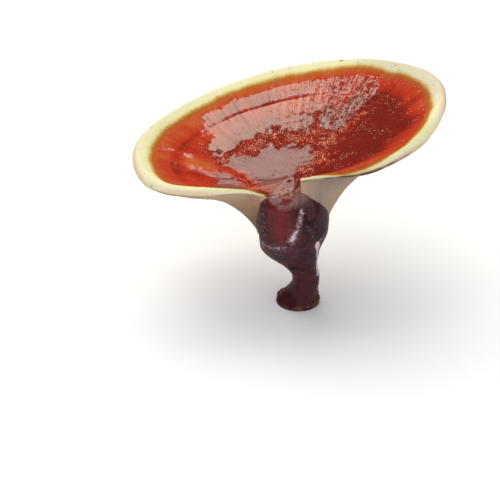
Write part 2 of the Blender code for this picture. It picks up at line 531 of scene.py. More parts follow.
    def surface(self, degrees: Array, out: Array, turn: Array, place: Array) -> Array:
        """The cap's grid, lobes joined across the open channel by the lobe share.

        Args:
            degrees: the directions of the columns.
            out: rows of the underside, from the crease outwards.
            turn: rows of the nose, in radians from below to above.
            place: rows of the top, from the rim to the hub.

        Returns:
            The grid of points, from the crease to the hub.
        """
        lobes = np.concatenate([
            self.underside(degrees, out), self.nose(degrees, turn), self.crown(degrees, place)
        ])
        under = self.under_steps * out ** (1.0 / self.under_power)
        over = (self.roll_steps - self.under_steps) * (turn / np.pi + 0.5)
        step = np.concatenate([under, self.under_steps + over])
        roll = 1.0 - self.channel_roll * step / self.roll_steps
        inner = self.gully(degrees, np.concatenate([roll, (1.0 - self.channel_roll) * place]))
        return inner + (lobes - inner) * self.lobe_share(degrees)[:, None]


@dataclass
class Ground:
    """What the marks measure at each point of the skin.

    The edge is the way in millimetres from the pale margin's inner edge, positive on the
    lacquer. The zone is the share of the way out on the top. The turn is the angle round the
    rim, from below to above, and the lobe is 1 where the rim is pale.
    """

    points: Array
    degrees: Array
    turn: Array
    lobe: Array
    on_stem: Array
    angle: Array
    reach: Array
    edge: Array
    zone: Array
    furrow: Array
    channel_bell: Bell = Bell(262.0, 26.0)
    rags: Grains = (Grain(21, 5.0, 0.30), Grain(22, 2.2, 0.18))
    spoke_grain: Grain = Grain(23, stretch=(22.0, 22.0, 1.5))
    spokes_from: Span = Span(8.0, 30.0)

    def __post_init__(self) -> None:
        """Reads what follows from the fields.

        The polar values hold the zone with the direction's cosine and sine, for patterns that
        run out from the hub. Rags and spokes are noise that frays the edges of the marks.
        """
        self.x, self.y, self.z = np.moveaxis(self.points, -1, 0)
        self.plan = self.points * np.array([1.0, 1.0, 0.0])
        self.polar = np.stack([np.cos(self.angle), np.sin(self.angle), self.zone], axis=-1)
        self.channel = self.channel_bell.of(np.degrees(self.angle) % 360.0)
        self.ragged = together(self.rags, self.plan)
        self.spokes = self.spoke_grain.at(self.polar) * self.spokes_from.of(self.reach)


@dataclass(frozen=True)
class Lacquer:
    """Where the lacquer of the top is rough, matt or mirroring, dark red, orange or pitted."""

    hub: Hub = Hub()
    rough: Strokes = (
        Stroke(3.2, ((-38, 5), (-27, 12)), 0.75),
        Stroke(6.2, ((-22, 14), (-12, 18), (-3, 15), (6, 12), (14, 8)), 0.95),
        Stroke(4.6, ((14, 9), (21, 13), (27, 18)), 0.8),
        Stroke(1.8, ((7, 14), (8.5, 27)), 0.8),
        Stroke(5.0, ((3, -10), (13, -9), (10, 1)), 0.85),
        Stroke(2.2, ((-46, 15), (-38, 11)), 0.7),
        Stroke(2.4, ((-29, -10), (-21, -21)), 0.8),
    )
    islands: Grains = (Grain(24, 3.4, 0.55), Grain(25, 1.7, 0.35))
    tearing: float = 0.45
    tearing_from: Span = Span(0.08, 0.35)
    on_top: Span = Span(-1.0, 2.0)
    side_place: Bell = Bell(-17.5, 3.2)
    side_height: Span = Span(40.0, 48.0)
    side_share: float = 0.5
    dull: Strokes = (
        Stroke(3.2, ((-47, 3), (-40, 0), (-34, -2))),
        Stroke(2.5, ((-34, -2), (-27.7, -8), (-20.9, -23.5))),
        Stroke(2.4, ((15.6, 14), (15.5, 27), (14.9, 36)), 0.62),
        Stroke(1.6, ((23, 24), (20, 38)), 0.4),
        Stroke(6.5, ((-6.5, -27), (-5, -19)), 0.38),
        Stroke(6.0, ((-9, -12), (-1, -6)), 0.30),
    )
    rough_edge: Span = Span(0.0, 0.7)
    slant: float = 0.75
    right: Span = Span(6.0, 12.0)
    right_front: Span = Span(-23.0, -17.0)
    right_inner: Span = Span(-3.0, 1.0)
    left: Span = Span(-38.5, -42.5)
    left_slant: float = 0.12
    fray: float = 8.0
    spoke_fray: float = 3.0
    brim: Span = Span(6.5, 4.2)
    brim_fray: float = 2.5
    brim_gap: Bell = Bell(222.0, 16.0)
    fade: Span = Span(-52.0, 4.0)
    fade_zone: Span = Span(0.40, 0.60)
    fade_share: float = 0.55
    gloss: Strokes = (
        Stroke(1.7, ((-52.5, 8.5), (-50.5, 8.0))),
        Stroke(2.2, ((-50.0, -1.2), (-46.0, -2.6))),
        Stroke(2.6, ((-43, -4.5), (-34, -12), (-28, -20))),
        Stroke(1.8, ((-64, 10.0), (-59, 11.0)), 0.6),
        Stroke(1.3, ((-64, -0.5), (-58, 0.3)), 0.6),
        Stroke(2.6, ((-44.0, 29.0), (-41.2, 32.8), (-36.0, 35.0)), 0.9),
    )
    gloss_share: float = 0.85
    ripening: Span = Span(1.0, 0.50)
    ripe_spokes: float = 0.06
    ripe_front: Bell = Bell(314.0, 17.0)
    ripe_front_share: float = 0.30
    ring: Bell = Bell(0.765, 0.035)
    ring_direction: Bell = Bell(160.0, 26.0)
    ring_share: float = 0.30
    furrow_share: float = 0.35
    blotch: Strokes = (Stroke(8.5, ((34, 22), (45, 1))), Stroke(6.0, ((16, -11), (30, -8))))
    blotch_share: float = 0.45
    left_zone: Span = Span(0.95, 0.5)
    left_share: float = 0.35
    vivid: Strokes = (Stroke(4.2, ((-50, 3), (-40, 0), (-34, -2), (-27.7, -8), (-20.9, -23.5))),)
    vivid_share: float = 0.5
    # Painted shade: the top is darker red towards the right.
    right_shade: Span = Span(5.0, 30.0)
    right_shade_share: float = 0.20
    mirror_zone: Span = Span(0.76, 0.82)
    mirror_share: float = 0.5
    pits: Strokes = (
        Stroke(0.7, ((-5.9, -19.5, 72.7), (-5.3, -19.2, 72.8))),
        Stroke(0.55, ((-19.5, -14.6, 70.7), (-17.4, -13.6, 70.9)), 0.9),
        Stroke(0.5, ((-22.2, -7.3, 70.7),), 0.9),
        Stroke(0.5, ((-12.7, -11.3, 71.8),), 0.6),
        Stroke(0.4, ((-24.5, -1.3, 71.2),), 0.6),
        Stroke(0.9, ((-19.6, -30.9, 72.9), (-17.8, -30.2, 72.1), (-15.2, -29.0, 71.1)), 0.8),
    )

    def rough_at(self, ground: Ground) -> Array:
        """Rough patches: strokes broken up into islands, and the left side of the stem.

        Args:
            ground: what is measured at the skin's points.

        Returns:
            How rough each point is.
        """
        islands = together(self.islands, ground.plan)
        rough = strongest(self.rough, ground.points)
        torn = self.tearing * islands * self.tearing_from.of(rough)
        rough = np.clip(rough * (1.0 + islands) + torn, 0.0, 1.0)
        rough = rough * np.where(ground.on_stem, ground.channel, self.on_top.of(ground.edge))
        side = self.side_place.of(ground.x) * self.side_height.of(ground.z)
        side = side * (ground.y < self.hub.y)
        return np.maximum(rough, self.side_share * side * ground.on_stem)

    def left_at(self, ground: Ground) -> Array:
        """1 on the left of the top, with a ragged edge."""
        return self.left.of(ground.x + self.left_slant * ground.y + self.fray * ground.ragged)

    def dull_at(self, ground: Ground, rough: Array) -> Array:
        """Where the lacquer mirrors nothing: to the right, to the left, along the brim, in the
        rough patches, the furrow and the dull strokes, but not in the glossy strokes.

        Args:
            ground: what is measured at the skin's points.
            rough: how rough each point is.

        Returns:
            How dull each point is.
        """
        across = ground.x - self.slant * ground.y
        frayed = across + self.fray * ground.ragged + self.spoke_fray * ground.spokes
        right = self.right.of(frayed)
        right = right * np.maximum(self.right_front.of(ground.y), self.right_inner.of(ground.x))
        brim = self.brim.of(ground.edge + self.brim_fray * ground.ragged)
        brim = brim * (1.0 - self.brim_gap.of(ground.degrees))
        fade = self.fade_share * self.fade.of(across) * self.fade_zone.of(ground.zone)
        strokes = strongest(self.dull, ground.points)
        dull = np.maximum.reduce([
            right, self.left_at(ground), brim, self.rough_edge.of(rough), strokes, ground.furrow, fade
        ])
        return dull * (1.0 - self.gloss_share * strongest(self.gloss, ground.points))

    def ripe_at(self, ground: Ground, dull: Array) -> Array:
        """How dark red the lacquer is: more towards the hub, in the blotches, the ring and the
        furrow, under the mirrored light and towards the right, where shade is painted, and less
        on the left and in the vivid strokes.

        Args:
            ground: what is measured at the skin's points.
            dull: how dull each point is.

        Returns:
            The ripeness, from 0 for orange to 1 for dark red.
        """
        zone, degrees = ground.zone, ground.degrees
        blotch = strongest(self.blotch, ground.points)
        ring = self.ring.of(zone) * self.ring_direction.of(degrees)
        front = self.ripe_front_share * self.ripe_front.of(degrees)
        ripe = self.ripening.of(zone + front + self.ripe_spokes * ground.spokes)
        ripe = ripe + self.blotch_share * blotch + self.ring_share * ring
        left = self.left_at(ground) * self.left_zone.of(zone) * (1.0 - blotch)
        ripe = ripe + self.furrow_share * ground.furrow - self.left_share * left
        ripe = ripe - self.vivid_share * strongest(self.vivid, ground.points)
        # painted shade towards the right
        ripe = ripe + self.right_shade_share * self.right_shade.of(ground.x)
        ripe = ripe + self.mirror_share * (1.0 - dull) * self.mirror_zone.of(zone)
        return np.clip(ripe, 0.0, 1.0)

    def pits_at(self, ground: Ground) -> Array:
        """The small brown pits by the hub."""
        return strongest(self.pits, ground.points)


@dataclass(frozen=True)
class StemMarks:
    """Where the stem is dark, dark red or dusty with soil, and where reflections are painted on it
    and on the open channel.
    """

    dark_height: Span = Span(71.5, 63.0)
    blush_place: Bell = Bell(-9.5, 6.5)
    blush_height: Span = Span(43.0, 50.0)
    blush_front: Span = Span(-22.0, -27.0)
    blush_below: Span = Span(40.0, 26.0)
    blush_below_share: float = 0.22
    # Painted highlights and reflections on the stem: down the valley, on the bulb, the lavender band
    # under it and the streak down the column's right side.
    bloom: Strokes = (
        Stroke(2.4, (
            (-0.5, -30.5, 63.0), (-0.8, -31.7, 58.3), (-2.6, -32.1, 53.5), (-5.0, -31.7, 48.6),
        ), 0.74),
        Stroke(1.2, ((2.7, -31.6, 56.3), (3.2, -31.3, 53.6)), 0.7),
        Stroke(2.6, ((-8.0, -30.8, 45.0), (-14.1, -26.8, 43.2), (-17.6, -22.2, 42.8)), 0.5),
        Stroke(1.6, (
            (7.2, -26.3, 45.0), (7.6, -21.6, 38.4), (8.3, -13.2, 28.1), (8.9, -10.2, 20.0),
        ), 1.22),
        Stroke(1.4, ((9.4, -24.8, 47.2), (7.2, -26.3, 45.0)), 0.7),
    )
    # A painted pinkish reflection on the open channel and at its mouth.
    channel_reflection: Strokes = (
        Stroke(6.0, ((-6.0, -27.0, 71.0), (-5.0, -21.0, 72.5)), 0.45),
        Stroke(4.4, ((-22.0, -27.5), (-15.5, -25.5), (-10.5, -24.0)), 0.80),
    )
    channel_reflection_height: Span = Span(62.0, 67.0)
    soil_height: Span = Span(7.0, 0.0)
    soil_grain: Grain = Grain(8, 4.0, 3.5)
    soil_share: float = 0.62

    def dark_at(self, ground: Ground) -> Array:
        """The dark lacquer of the stem, which ends at the top and in the open channel.

        Args:
            ground: what is measured at the skin's points.

        Returns:
            1 where it is dark, 0 elsewhere.
        """
        low = self.dark_height.of(ground.z)
        on_stem = 1.0 - (1.0 - low) * ground.channel
        return np.where(ground.on_stem, on_stem, low * (1.0 - ground.lobe))

    def blush_at(self, ground: Ground) -> Array:
        """The dark red front of the bulb, and a little of it on the column.

        Args:
            ground: what is measured at the skin's points.

        Returns:
            How red each point is.
        """
        front = self.blush_place.of(ground.x) * self.blush_height.of(ground.z)
        front = front * self.blush_front.of(ground.y)
        return front + self.blush_below_share * self.blush_below.of(ground.z)

    def painted_reflection_at(self, ground: Ground) -> Array:
        """Painted reflections in streaks on the stem, and a painted pinkish reflection at the mouth
        of the channel.

        Args:
            ground: what is measured at the skin's points.

        Returns:
            How strong the painted reflection is at each point.
        """
        streaks = strongest(self.bloom, ground.points) * ground.on_stem
        channel_reflection = strongest(self.channel_reflection, ground.points) * self.channel_reflection_height.of(ground.z)
        return np.maximum(streaks, channel_reflection)

    def soil_at(self, ground: Ground) -> Array:
        """Soil near the foot, with an uneven upper edge."""
        uneven = self.soil_grain.at(ground.points)
        return self.soil_share * self.soil_height.of(ground.z + uneven)


@dataclass(frozen=True)
class LipShadow:
    """Painted shade under the rim: a dark brown shadow line under the near right edge, and a
    fainter shade line round the underside of the rim, strongest at the left.
    """

    line_turn: Bell = Bell(-17.0, 22.0)
    line_direction: Bell = Bell(326.0, 19.0)
    line_share: float = 1.5
    line_grain: Grain = Grain(27, 3.5, 1.1)
    rim_shade_turn: Bell = Bell(-42.0, 14.0)
    rim_shade_direction: Bell = Bell(185.0, 30.0)
    rim_shade_share: float = 0.18
    rim_shade_more: float = 0.30
    rim_shade_level: float = 0.6
    rim_shade_grain: Grain = Grain(26, 3.0, 0.8)

    def lip_shadow_at(self, ground: Ground) -> Array:
        """The stronger of the shadow line and the shade line, both broken up by noise.

        Args:
            ground: what is measured at the skin's points.

        Returns:
            How strong the painted shade is at each point.
        """
        broken = self.line_share + self.line_grain.at(ground.points)
        line = broken * self.line_turn.of(ground.turn) * self.line_direction.of(ground.degrees)
        uneven = self.rim_shade_level + self.rim_shade_grain.at(ground.points)
        rim_shade = self.rim_shade_share + self.rim_shade_more * self.rim_shade_direction.of(ground.degrees) * uneven
        return np.maximum(np.clip(line, 0.0, 1.0), rim_shade * self.rim_shade_turn.of(ground.turn))


@dataclass(frozen=True)
class Relief:
    """How far the skin swells and sinks from its plain form, in millimetres.

    Each ring is the zone where it lies, its width, its depth and the seed of its unevenness.
    """

    lumps: Grains = (Grain(11, 14.0, 0.35), Grain(12, 5.0, 0.12))
    grit: Grains = (Grain(51, 1.9, 0.14), Grain(52, 0.95, 0.11))
    on_top: Span = Span(-0.5, 2.5)
    rings: Table = (
        (0.91, 0.020, 0.18, 81), (0.70, 0.022, 0.16, 62), (0.60, 0.020, 0.20, 54),
        (0.47, 0.026, 0.16, 42),
    )
    ring_waver: Grain = Grain(31, size=0.016, stretch=(3.0, 3.0, 1.0))
    ring_level: float = 0.75
    ring_unevenness: float = 0.5
    ring_stretch: tuple[float, float, float] = (4.0, 4.0, 0.0)
    ribs: Grains = (
        Grain(41, size=0.096, stretch=(13.0, 13.0, 1.6)),
        Grain(42, size=0.064, stretch=(34.0, 34.0, 2.5)),
    )
    ribs_from: Span = Span(10.0, 32.0)
    margin_groove: float = 0.22
    margin_groove_place: Bell = Bell(0.3, 0.9)
    rim_waves: Grain = Grain(61, size=0.22, stretch=(9.0, 9.0, 0.0))
    rim_waves_place: Bell = Bell(-5.0, 4.0)
    wrinkles: Grain = Grain(71, size=0.10, stretch=(0.12, 0.12, 0.75))
    wrinkles_height: Span = Span(48.0, 30.0)
    pits: float = 0.35
    under_bands: Grain = Grain(81, size=0.16, stretch=(1.5, 1.5, 17.0))
    under_bands_from: Span = Span(12.0, 24.0)


@dataclass
class Skin:
    """The mushroom's whole skin on one grid, from the foot to the hub."""

    stem: StemForm
    cap: CapForm
    relief: Relief = Relief()
    columns: int = 480
    rows_per_outline: tuple[int, ...] = (5, 5, 6, 7, 8, 9, 9, 9, 8, 8, 26, 14)
    under_rows: int = 46
    under_crowding: float = 1.25
    nose_rows: int = 24
    top_rows: int = 122
    channel_fillet: float = 5.5
    lobe_fillet: float = 0.5
    fillet_rows: int = 4
    pale_left: Span = Span(236.5, 230.5)
    pale_right: Span = Span(281.0, 286.0)
    margin: ClosedCurve = ClosedCurve((
        (0, 0.8), (10, 2.8), (20, 5.0), (30, 6.2), (40, 6.4), (50, 6.2), (60, 4.6), (75, 5.0),
        (90, 5.0), (105, 4.8), (120, 5.0), (135, 5.6), (150, 5.2), (160, 5.8), (170, 5.0),
        (180, 3.0), (190, 0.6), (200, -0.4), (212, -0.4), (224, -0.3), (288, 0.7), (302, 0.4),
        (313, -0.8), (324, -2.1), (334, -2.1), (343, -1.3), (351, -0.4),
    ))
    margin_wobble: Grain = Grain(3, 7.0, 0.35)
    narrow_from: Span = Span(184.0, 204.0)
    narrow_to: Span = Span(360.0, 344.0)
    narrowing: float = 1.8
    deep_inside: float = 30.0
    hub_zone: float = 0.25
    furthest_zone: float = 1.2
    furrow_colour: Bell = Bell(100.0, 42.0)
    sheen: Span = Span(-0.6, 1.2)
    stem_dimming: float = 0.60
    underneath: Span = Span(-22.0, -60.0)
    lacquer: Lacquer = Lacquer()
    stem_marks: StemMarks = StemMarks()
    lip_shadow_marks: LipShadow = LipShadow()
    points: Array = field(init=False)
    normals: Array = field(init=False)
    masks: dict[Mask, Array] = field(init=False)
    crease_row: int = field(init=False)
    edge_row: int = field(init=False)

    def __post_init__(self) -> None:
        """Works the grid out: plain form, fillet, masks, then relief along the normals."""
        self.degrees = np.arange(self.columns) * 360.0 / self.columns
        way = np.concatenate([
            index + np.arange(rows) / rows for index, rows in enumerate(self.rows_per_outline)
        ])
        way = np.append(way, len(self.rows_per_outline))
        out = np.linspace(0.0, 1.0, self.under_rows, endpoint=False) ** self.under_crowding
        turn = np.linspace(-0.5, 0.5, self.nose_rows, endpoint=False) * np.pi
        place = np.linspace(1.0, 0.0, self.top_rows, endpoint=False)
        stem = self.stem.surface(self.degrees, way)
        cap = self.cap.surface(self.degrees, out, turn, place)
        self.crease_row = len(stem) - 1
        self.edge_row = self.crease_row + self.under_rows + self.nose_rows
        below = np.full(self.crease_row + self.under_rows, -0.5 * np.pi)
        above = np.full(self.top_rows, 0.5 * np.pi)
        self.turn = np.degrees(np.concatenate([below, turn, above]))[:, None]
        self.points = np.concatenate([stem, cap[1:]])
        self.round_crease()
        self.normals = self.surface_normals()
        ground = self.measure()
        self.masks = self.read_masks(ground)
        lift = self.lift(ground)
        lift[0] = 0.0
        self.points = self.points + lift[..., None] * self.normals
        self.points[0, :, 2] = 0.0
        self.normals = self.surface_normals()

    def arc(self) -> Array:
        """The way along each column from the foot to each point."""
        steps = np.linalg.norm(np.diff(self.points, axis=0), axis=-1)
        return np.concatenate([np.zeros((1, self.columns)), np.cumsum(steps, axis=0)])

    def round_crease(self) -> None:
        """Rounds the corner at the crease: within a radius r the point moves by the change of
        direction times (r - d)^2 / 4r, which turns the corner into a parabola."""
        row = self.crease_row
        before = self.points[row] - self.points[row - self.fillet_rows]
        after = self.points[row + self.fillet_rows] - self.points[row]
        before /= np.linalg.norm(before, axis=-1, keepdims=True)
        after /= np.linalg.norm(after, axis=-1, keepdims=True)
        lobe = self.cap.lobe_share(self.degrees)
        radius = self.lobe_fillet + (self.channel_fillet - self.lobe_fillet) * (1.0 - lobe)
        arc = self.arc()
        gap = np.clip(radius - np.abs(arc - arc[row]), 0.0, None)
        self.points = self.points + (after - before) * (gap**2 / (4.0 * radius))[..., None]

    def surface_normals(self) -> Array:
        """Outward normals: at right angles to the slopes along the rows and the columns.

        Returns:
            One normal for each point.
        """
        along = np.gradient(self.points, axis=0)
        around = np.roll(self.points, -1, axis=1) - np.roll(self.points, 1, axis=1)
        normals = np.cross(around, along)
        return normals / np.maximum(np.linalg.norm(normals, axis=-1, keepdims=True), TINY)

    def pale_share(self) -> Array:
        """1 in the directions where the rim is pale, 0 across the open channel, in one row."""
        left, right = self.pale_left.of(self.degrees), self.pale_right.of(self.degrees)
        return np.maximum(left, right)[None, :]

    def measure(self) -> Ground:
        """Measures the edge, the zone and the rest of what the marks read at each point.

        Where the margin is narrow, at the front, the edge is read faster. In the open channel
        there is no margin, and the edge and the zone go over to what they are deep inside.

        Returns:
            The measures.
        """
        hub, degrees = self.stem.hub, self.degrees
        arc, lobe = self.arc(), self.pale_share()
        wobble = self.margin_wobble.at(self.points)
        inward = arc - arc[self.edge_row] - self.margin.at(degrees)[0] + wobble
        narrow = self.narrow_from.of(degrees) * self.narrow_to.of(degrees)
        inward = inward * (1.0 + self.narrowing * narrow)
        ahead, aside = self.points[..., 0] - hub.x, self.points[..., 1] - hub.y
        reach = np.hypot(aside, ahead)
        zone = self.hub_zone + (reach / self.cap.edge(degrees)[0] - self.hub_zone) * lobe
        zone = np.clip(zone, 0.0, self.furthest_zone)
        return Ground(
            points=self.points,
            degrees=degrees,
            turn=self.turn,
            lobe=lobe,
            on_stem=np.arange(len(self.points))[:, None] <= self.crease_row,
            angle=np.arctan2(aside, ahead),
            reach=reach,
            edge=self.deep_inside + (inward - self.deep_inside) * lobe,
            zone=zone,
            furrow=self.cap.furrow.of(zone) * self.furrow_colour.of(degrees),
        )

    def read_masks(self, ground: Ground) -> dict[Mask, Array]:
        """What the materials read at each point.

        Args:
            ground: what is measured at the skin's points.

        Returns:
            Each mask with one value, or three, for each point.
        """
        on_stem, edge, lobe = ground.on_stem, ground.edge, ground.lobe
        rough = self.lacquer.rough_at(ground)
        dull = self.lacquer.dull_at(ground, rough)
        pit = self.lacquer.pits_at(ground)
        dark = self.stem_marks.dark_at(ground)
        stem_gloss = 1.0 - self.stem_dimming * dark
        return {
            Mask.EDGE: np.where(on_stem, self.deep_inside, edge),
            Mask.ZONE: ground.zone,
            Mask.POLAR: ground.polar,
            Mask.SHEEN: np.where(on_stem, 1.0, self.sheen.of(edge)),
            Mask.DARK: dark,
            Mask.BLUSH: self.stem_marks.blush_at(ground),
            Mask.ROUGH: rough,
            Mask.GLOSS: np.where(on_stem, stem_gloss, (1.0 - dull) * (1.0 - pit)),
            Mask.RIPE: self.lacquer.ripe_at(ground, dull),
            # painted reflections on the stem and the channel
            Mask.BLOOM: self.stem_marks.painted_reflection_at(ground),
            Mask.UNDER: np.where(on_stem, 0.0, self.underneath.of(self.turn)) * lobe,
            # painted shade under the rim
            Mask.LIP_SHADOW: np.where(on_stem, 0.0, self.lip_shadow_marks.lip_shadow_at(ground)) * lobe,
            Mask.SOIL: self.stem_marks.soil_at(ground),
            Mask.PIT: pit,
        }

    def lift(self, ground: Ground) -> Array:
        """How far each point moves along its normal, the sum of every relief.

        Lumps are noise in space on the whole skin. The top has growth rings, sunk bell curves of
        the zone whose place wavers with the direction, ribs that run out from the hub, pits, and
        grit in its rough patches. A groove follows the margin, and the rim waves a little. The
        stem has level wrinkles, and the underside low bands round the stem.

        Args:
            ground: what is measured at the skin's points.

        Returns:
            The lift in millimetres.
        """
        relief, points, polar, masks = self.relief, self.points, ground.polar, self.masks
        on_stem, lobe, edge = ground.on_stem, ground.lobe, masks[Mask.EDGE]
        on_top = np.where(on_stem, 0.0, relief.on_top.of(edge)) * lobe
        lift = together(relief.lumps, points)
        waver = relief.ring_waver.at(polar)
        for place, width, depth, seed in relief.rings:
            uneven = Grain(seed, size=relief.ring_unevenness, stretch=relief.ring_stretch).at(polar)
            strength = depth * (relief.ring_level + uneven)
            lift -= strength * Bell(place, width).of(ground.zone + waver) * on_top
        lift += together(relief.ribs, polar) * on_top * relief.ribs_from.of(ground.reach)
        lift += together(relief.grit, points) * masks[Mask.ROUGH]
        lift -= relief.margin_groove * relief.margin_groove_place.of(edge) * on_top
        waves = np.where(on_stem, 0.0, relief.rim_waves_place.of(edge)) * lobe
        lift += relief.rim_waves.at(polar) * waves
        column = np.where(on_stem, relief.wrinkles_height.of(points[..., 2]), 0.0)
        lift += relief.wrinkles.at(points) * column
        lift -= relief.pits * masks[Mask.PIT]
        bands = relief.under_bands.at(polar) * relief.under_bands_from.of(ground.reach)
        return lift + bands * masks[Mask.UNDER]


@dataclass
class SkinPiece:
    """One piece cut from the skin: some of its rows, closed at each open end."""

    node: Node
    skin: Skin
    closing_rings: int = 3

    def rows(self) -> slice:
        """The rows of the skin's grid that this piece takes."""
        row = self.skin.crease_row
        return slice(0, row + 1) if self.node is Node.STEM else slice(row, None)

    def build(self) -> bpy.types.Object:
        """Makes the mesh: the grid, drawn in to a middle point at its first and last outline.

        Returns:
            The new object, riding on the body and standing for its node.
        """
        skin, rows = self.skin, self.rows()
        grid, normals = skin.points[rows], skin.normals[rows]
        shares = np.arange(1, self.closing_rings)[:, None, None] / self.closing_rings
        first, last = grid[0].mean(axis=0), grid[-1].mean(axis=0)
        below = first + (grid[0] - first) * shares
        above = last + (grid[-1] - last) * shares[::-1]
        if self.node is Node.CAP:
            above = above[:0]
        stack = np.concatenate([below, grid, above])
        count, columns = stack.shape[:2]
        index = np.arange(count * columns).reshape(count, columns)
        beside = np.roll(index, -1, axis=1)
        quads = np.stack([index[:-1], beside[:-1], beside[1:], index[1:]], axis=-1).reshape(-1, 4)
        pole_low, pole_high = count * columns, count * columns + 1
        fan_low = np.stack([np.full(columns, pole_low), beside[0], index[0]], axis=-1)
        fan_high = np.stack([np.full(columns, pole_high), index[-1], beside[-1]], axis=-1)
        vertices = np.concatenate([stack.reshape(-1, 3), first[None], last[None]]) * MM
        mesh = mesh_from(self.node.value + "_skin", vertices, [quads, fan_low, fan_high])
        before = len(below) * columns
        full = np.zeros_like(vertices)
        full[before : before + normals.shape[0] * columns] = normals.reshape(-1, 3)
        mesh.normals_split_custom_set_from_vertices(full.tolist())
        for mask in Mask:
            self.store(mesh, mask, len(below), len(above))
        return place_piece(mesh, self.node.value + "_skin", self.node)

    def store(self, mesh: bpy.types.Mesh, mask: Mask, below: int, above: int) -> None:
        """Writes a mask into the mesh as a point attribute.

        Args:
            mesh: the piece's mesh.
            mask: which mask.
            below: how many closing rings lie before the grid.
            above: how many lie after it.
        """
        values = self.skin.masks[mask][self.rows()]
        if self.node is Node.CAP:
            values = self.cap_side(mask, values)
        stack = np.concatenate([
            np.repeat(values[:1], below, axis=0), values, np.repeat(values[-1:], above, axis=0)
        ])
        flat = stack.reshape(-1, 3) if mask is Mask.POLAR else stack.reshape(-1)
        flat = np.concatenate([flat, flat[:1], flat[-1:]])
        kind = "FLOAT_VECTOR" if mask is Mask.POLAR else "FLOAT"
        attribute = mesh.attributes.new(mask.value, kind, "POINT")
        channel = "vector" if mask is Mask.POLAR else "value"
        attribute.data.foreach_set(channel, flat.astype(np.float32).ravel())

    @staticmethod
    def cap_side(mask: Mask, values: Array) -> Array:
        """Gives the cap's first row the masks of the next one, in place of the stem's.

        Args:
            mask: which mask.
            values: its values on the cap's rows.

        Returns:
            The values to store.
        """
        if mask not in (Mask.POLAR, Mask.ZONE, Mask.SOIL):
            values = values.copy()
            values[0] = values[1]
        return values


def mesh_from(name: str, vertices: Array, faces: list[Array]) -> bpy.types.Mesh:
    """A smooth mesh from whole arrays.

    Args:
        name: its name.
        vertices: points in metres.
        faces: arrays of vertex numbers, each with faces of one length.

    Returns:
        The mesh.
    """
    mesh = bpy.data.meshes.new(name)
    sizes = np.concatenate([np.full(len(part), part.shape[1]) for part in faces])
    loops = np.concatenate([part.ravel() for part in faces])
    mesh.vertices.add(len(vertices))
    mesh.vertices.foreach_set("co", vertices.astype(np.float32).ravel())
    mesh.loops.add(len(loops))
    mesh.loops.foreach_set("vertex_index", loops.astype(np.int32))
    mesh.polygons.add(len(sizes))
    starts = np.concatenate([[0], np.cumsum(sizes)[:-1]])
    mesh.polygons.foreach_set("loop_start", starts.astype(np.int32))
    mesh.update(calc_edges=True)
    mesh.validate()
    mesh.shade_smooth()
    return mesh


def place_piece(mesh: bpy.types.Mesh, name: str, node: Node | None = None) -> bpy.types.Object:
    """Puts a mesh into the scene as a piece of the mushroom.

    Args:
        mesh: the finished mesh.
        name: the piece's name.
        node: the node that it replaces, if it does.

    Returns:
        The object.
    """
    item = bpy.data.objects.new(name, mesh)
    bpy.context.scene.collection.objects.link(item)
    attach(item, "root")
    if node is not None:
        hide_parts(node.value)
    return item


def icosahedron() -> tuple[Array, Array]:
    """A twenty-faced lump: its corners are the turns of (0, +-1, +-golden ratio), and its faces
    the triples of corners that all lie one edge apart.

    Returns:
        The corners, at a distance of 1, and the faces, anticlockwise from outside.
    """
    golden = (1.0 + math.sqrt(5.0)) / 2.0
    signs = np.array([(0.0, a, b * golden) for a in (-1, 1) for b in (-1, 1)])
    corners = np.concatenate([np.roll(signs, turn, axis=1) for turn in range(3)])
    triples = np.array(list(itertools.combinations(range(len(corners)), 3)))
    reach = np.linalg.norm(corners[triples] - corners[np.roll(triples, 1, axis=1)], axis=-1)
    edge = 2.0
    faces = triples[np.all(np.isclose(reach, edge), axis=1)]
    inside_out = np.linalg.det(corners[faces]) < 0.0
    faces[inside_out] = faces[inside_out][:, ::-1]
    return corners / np.linalg.norm(corners[0]), faces


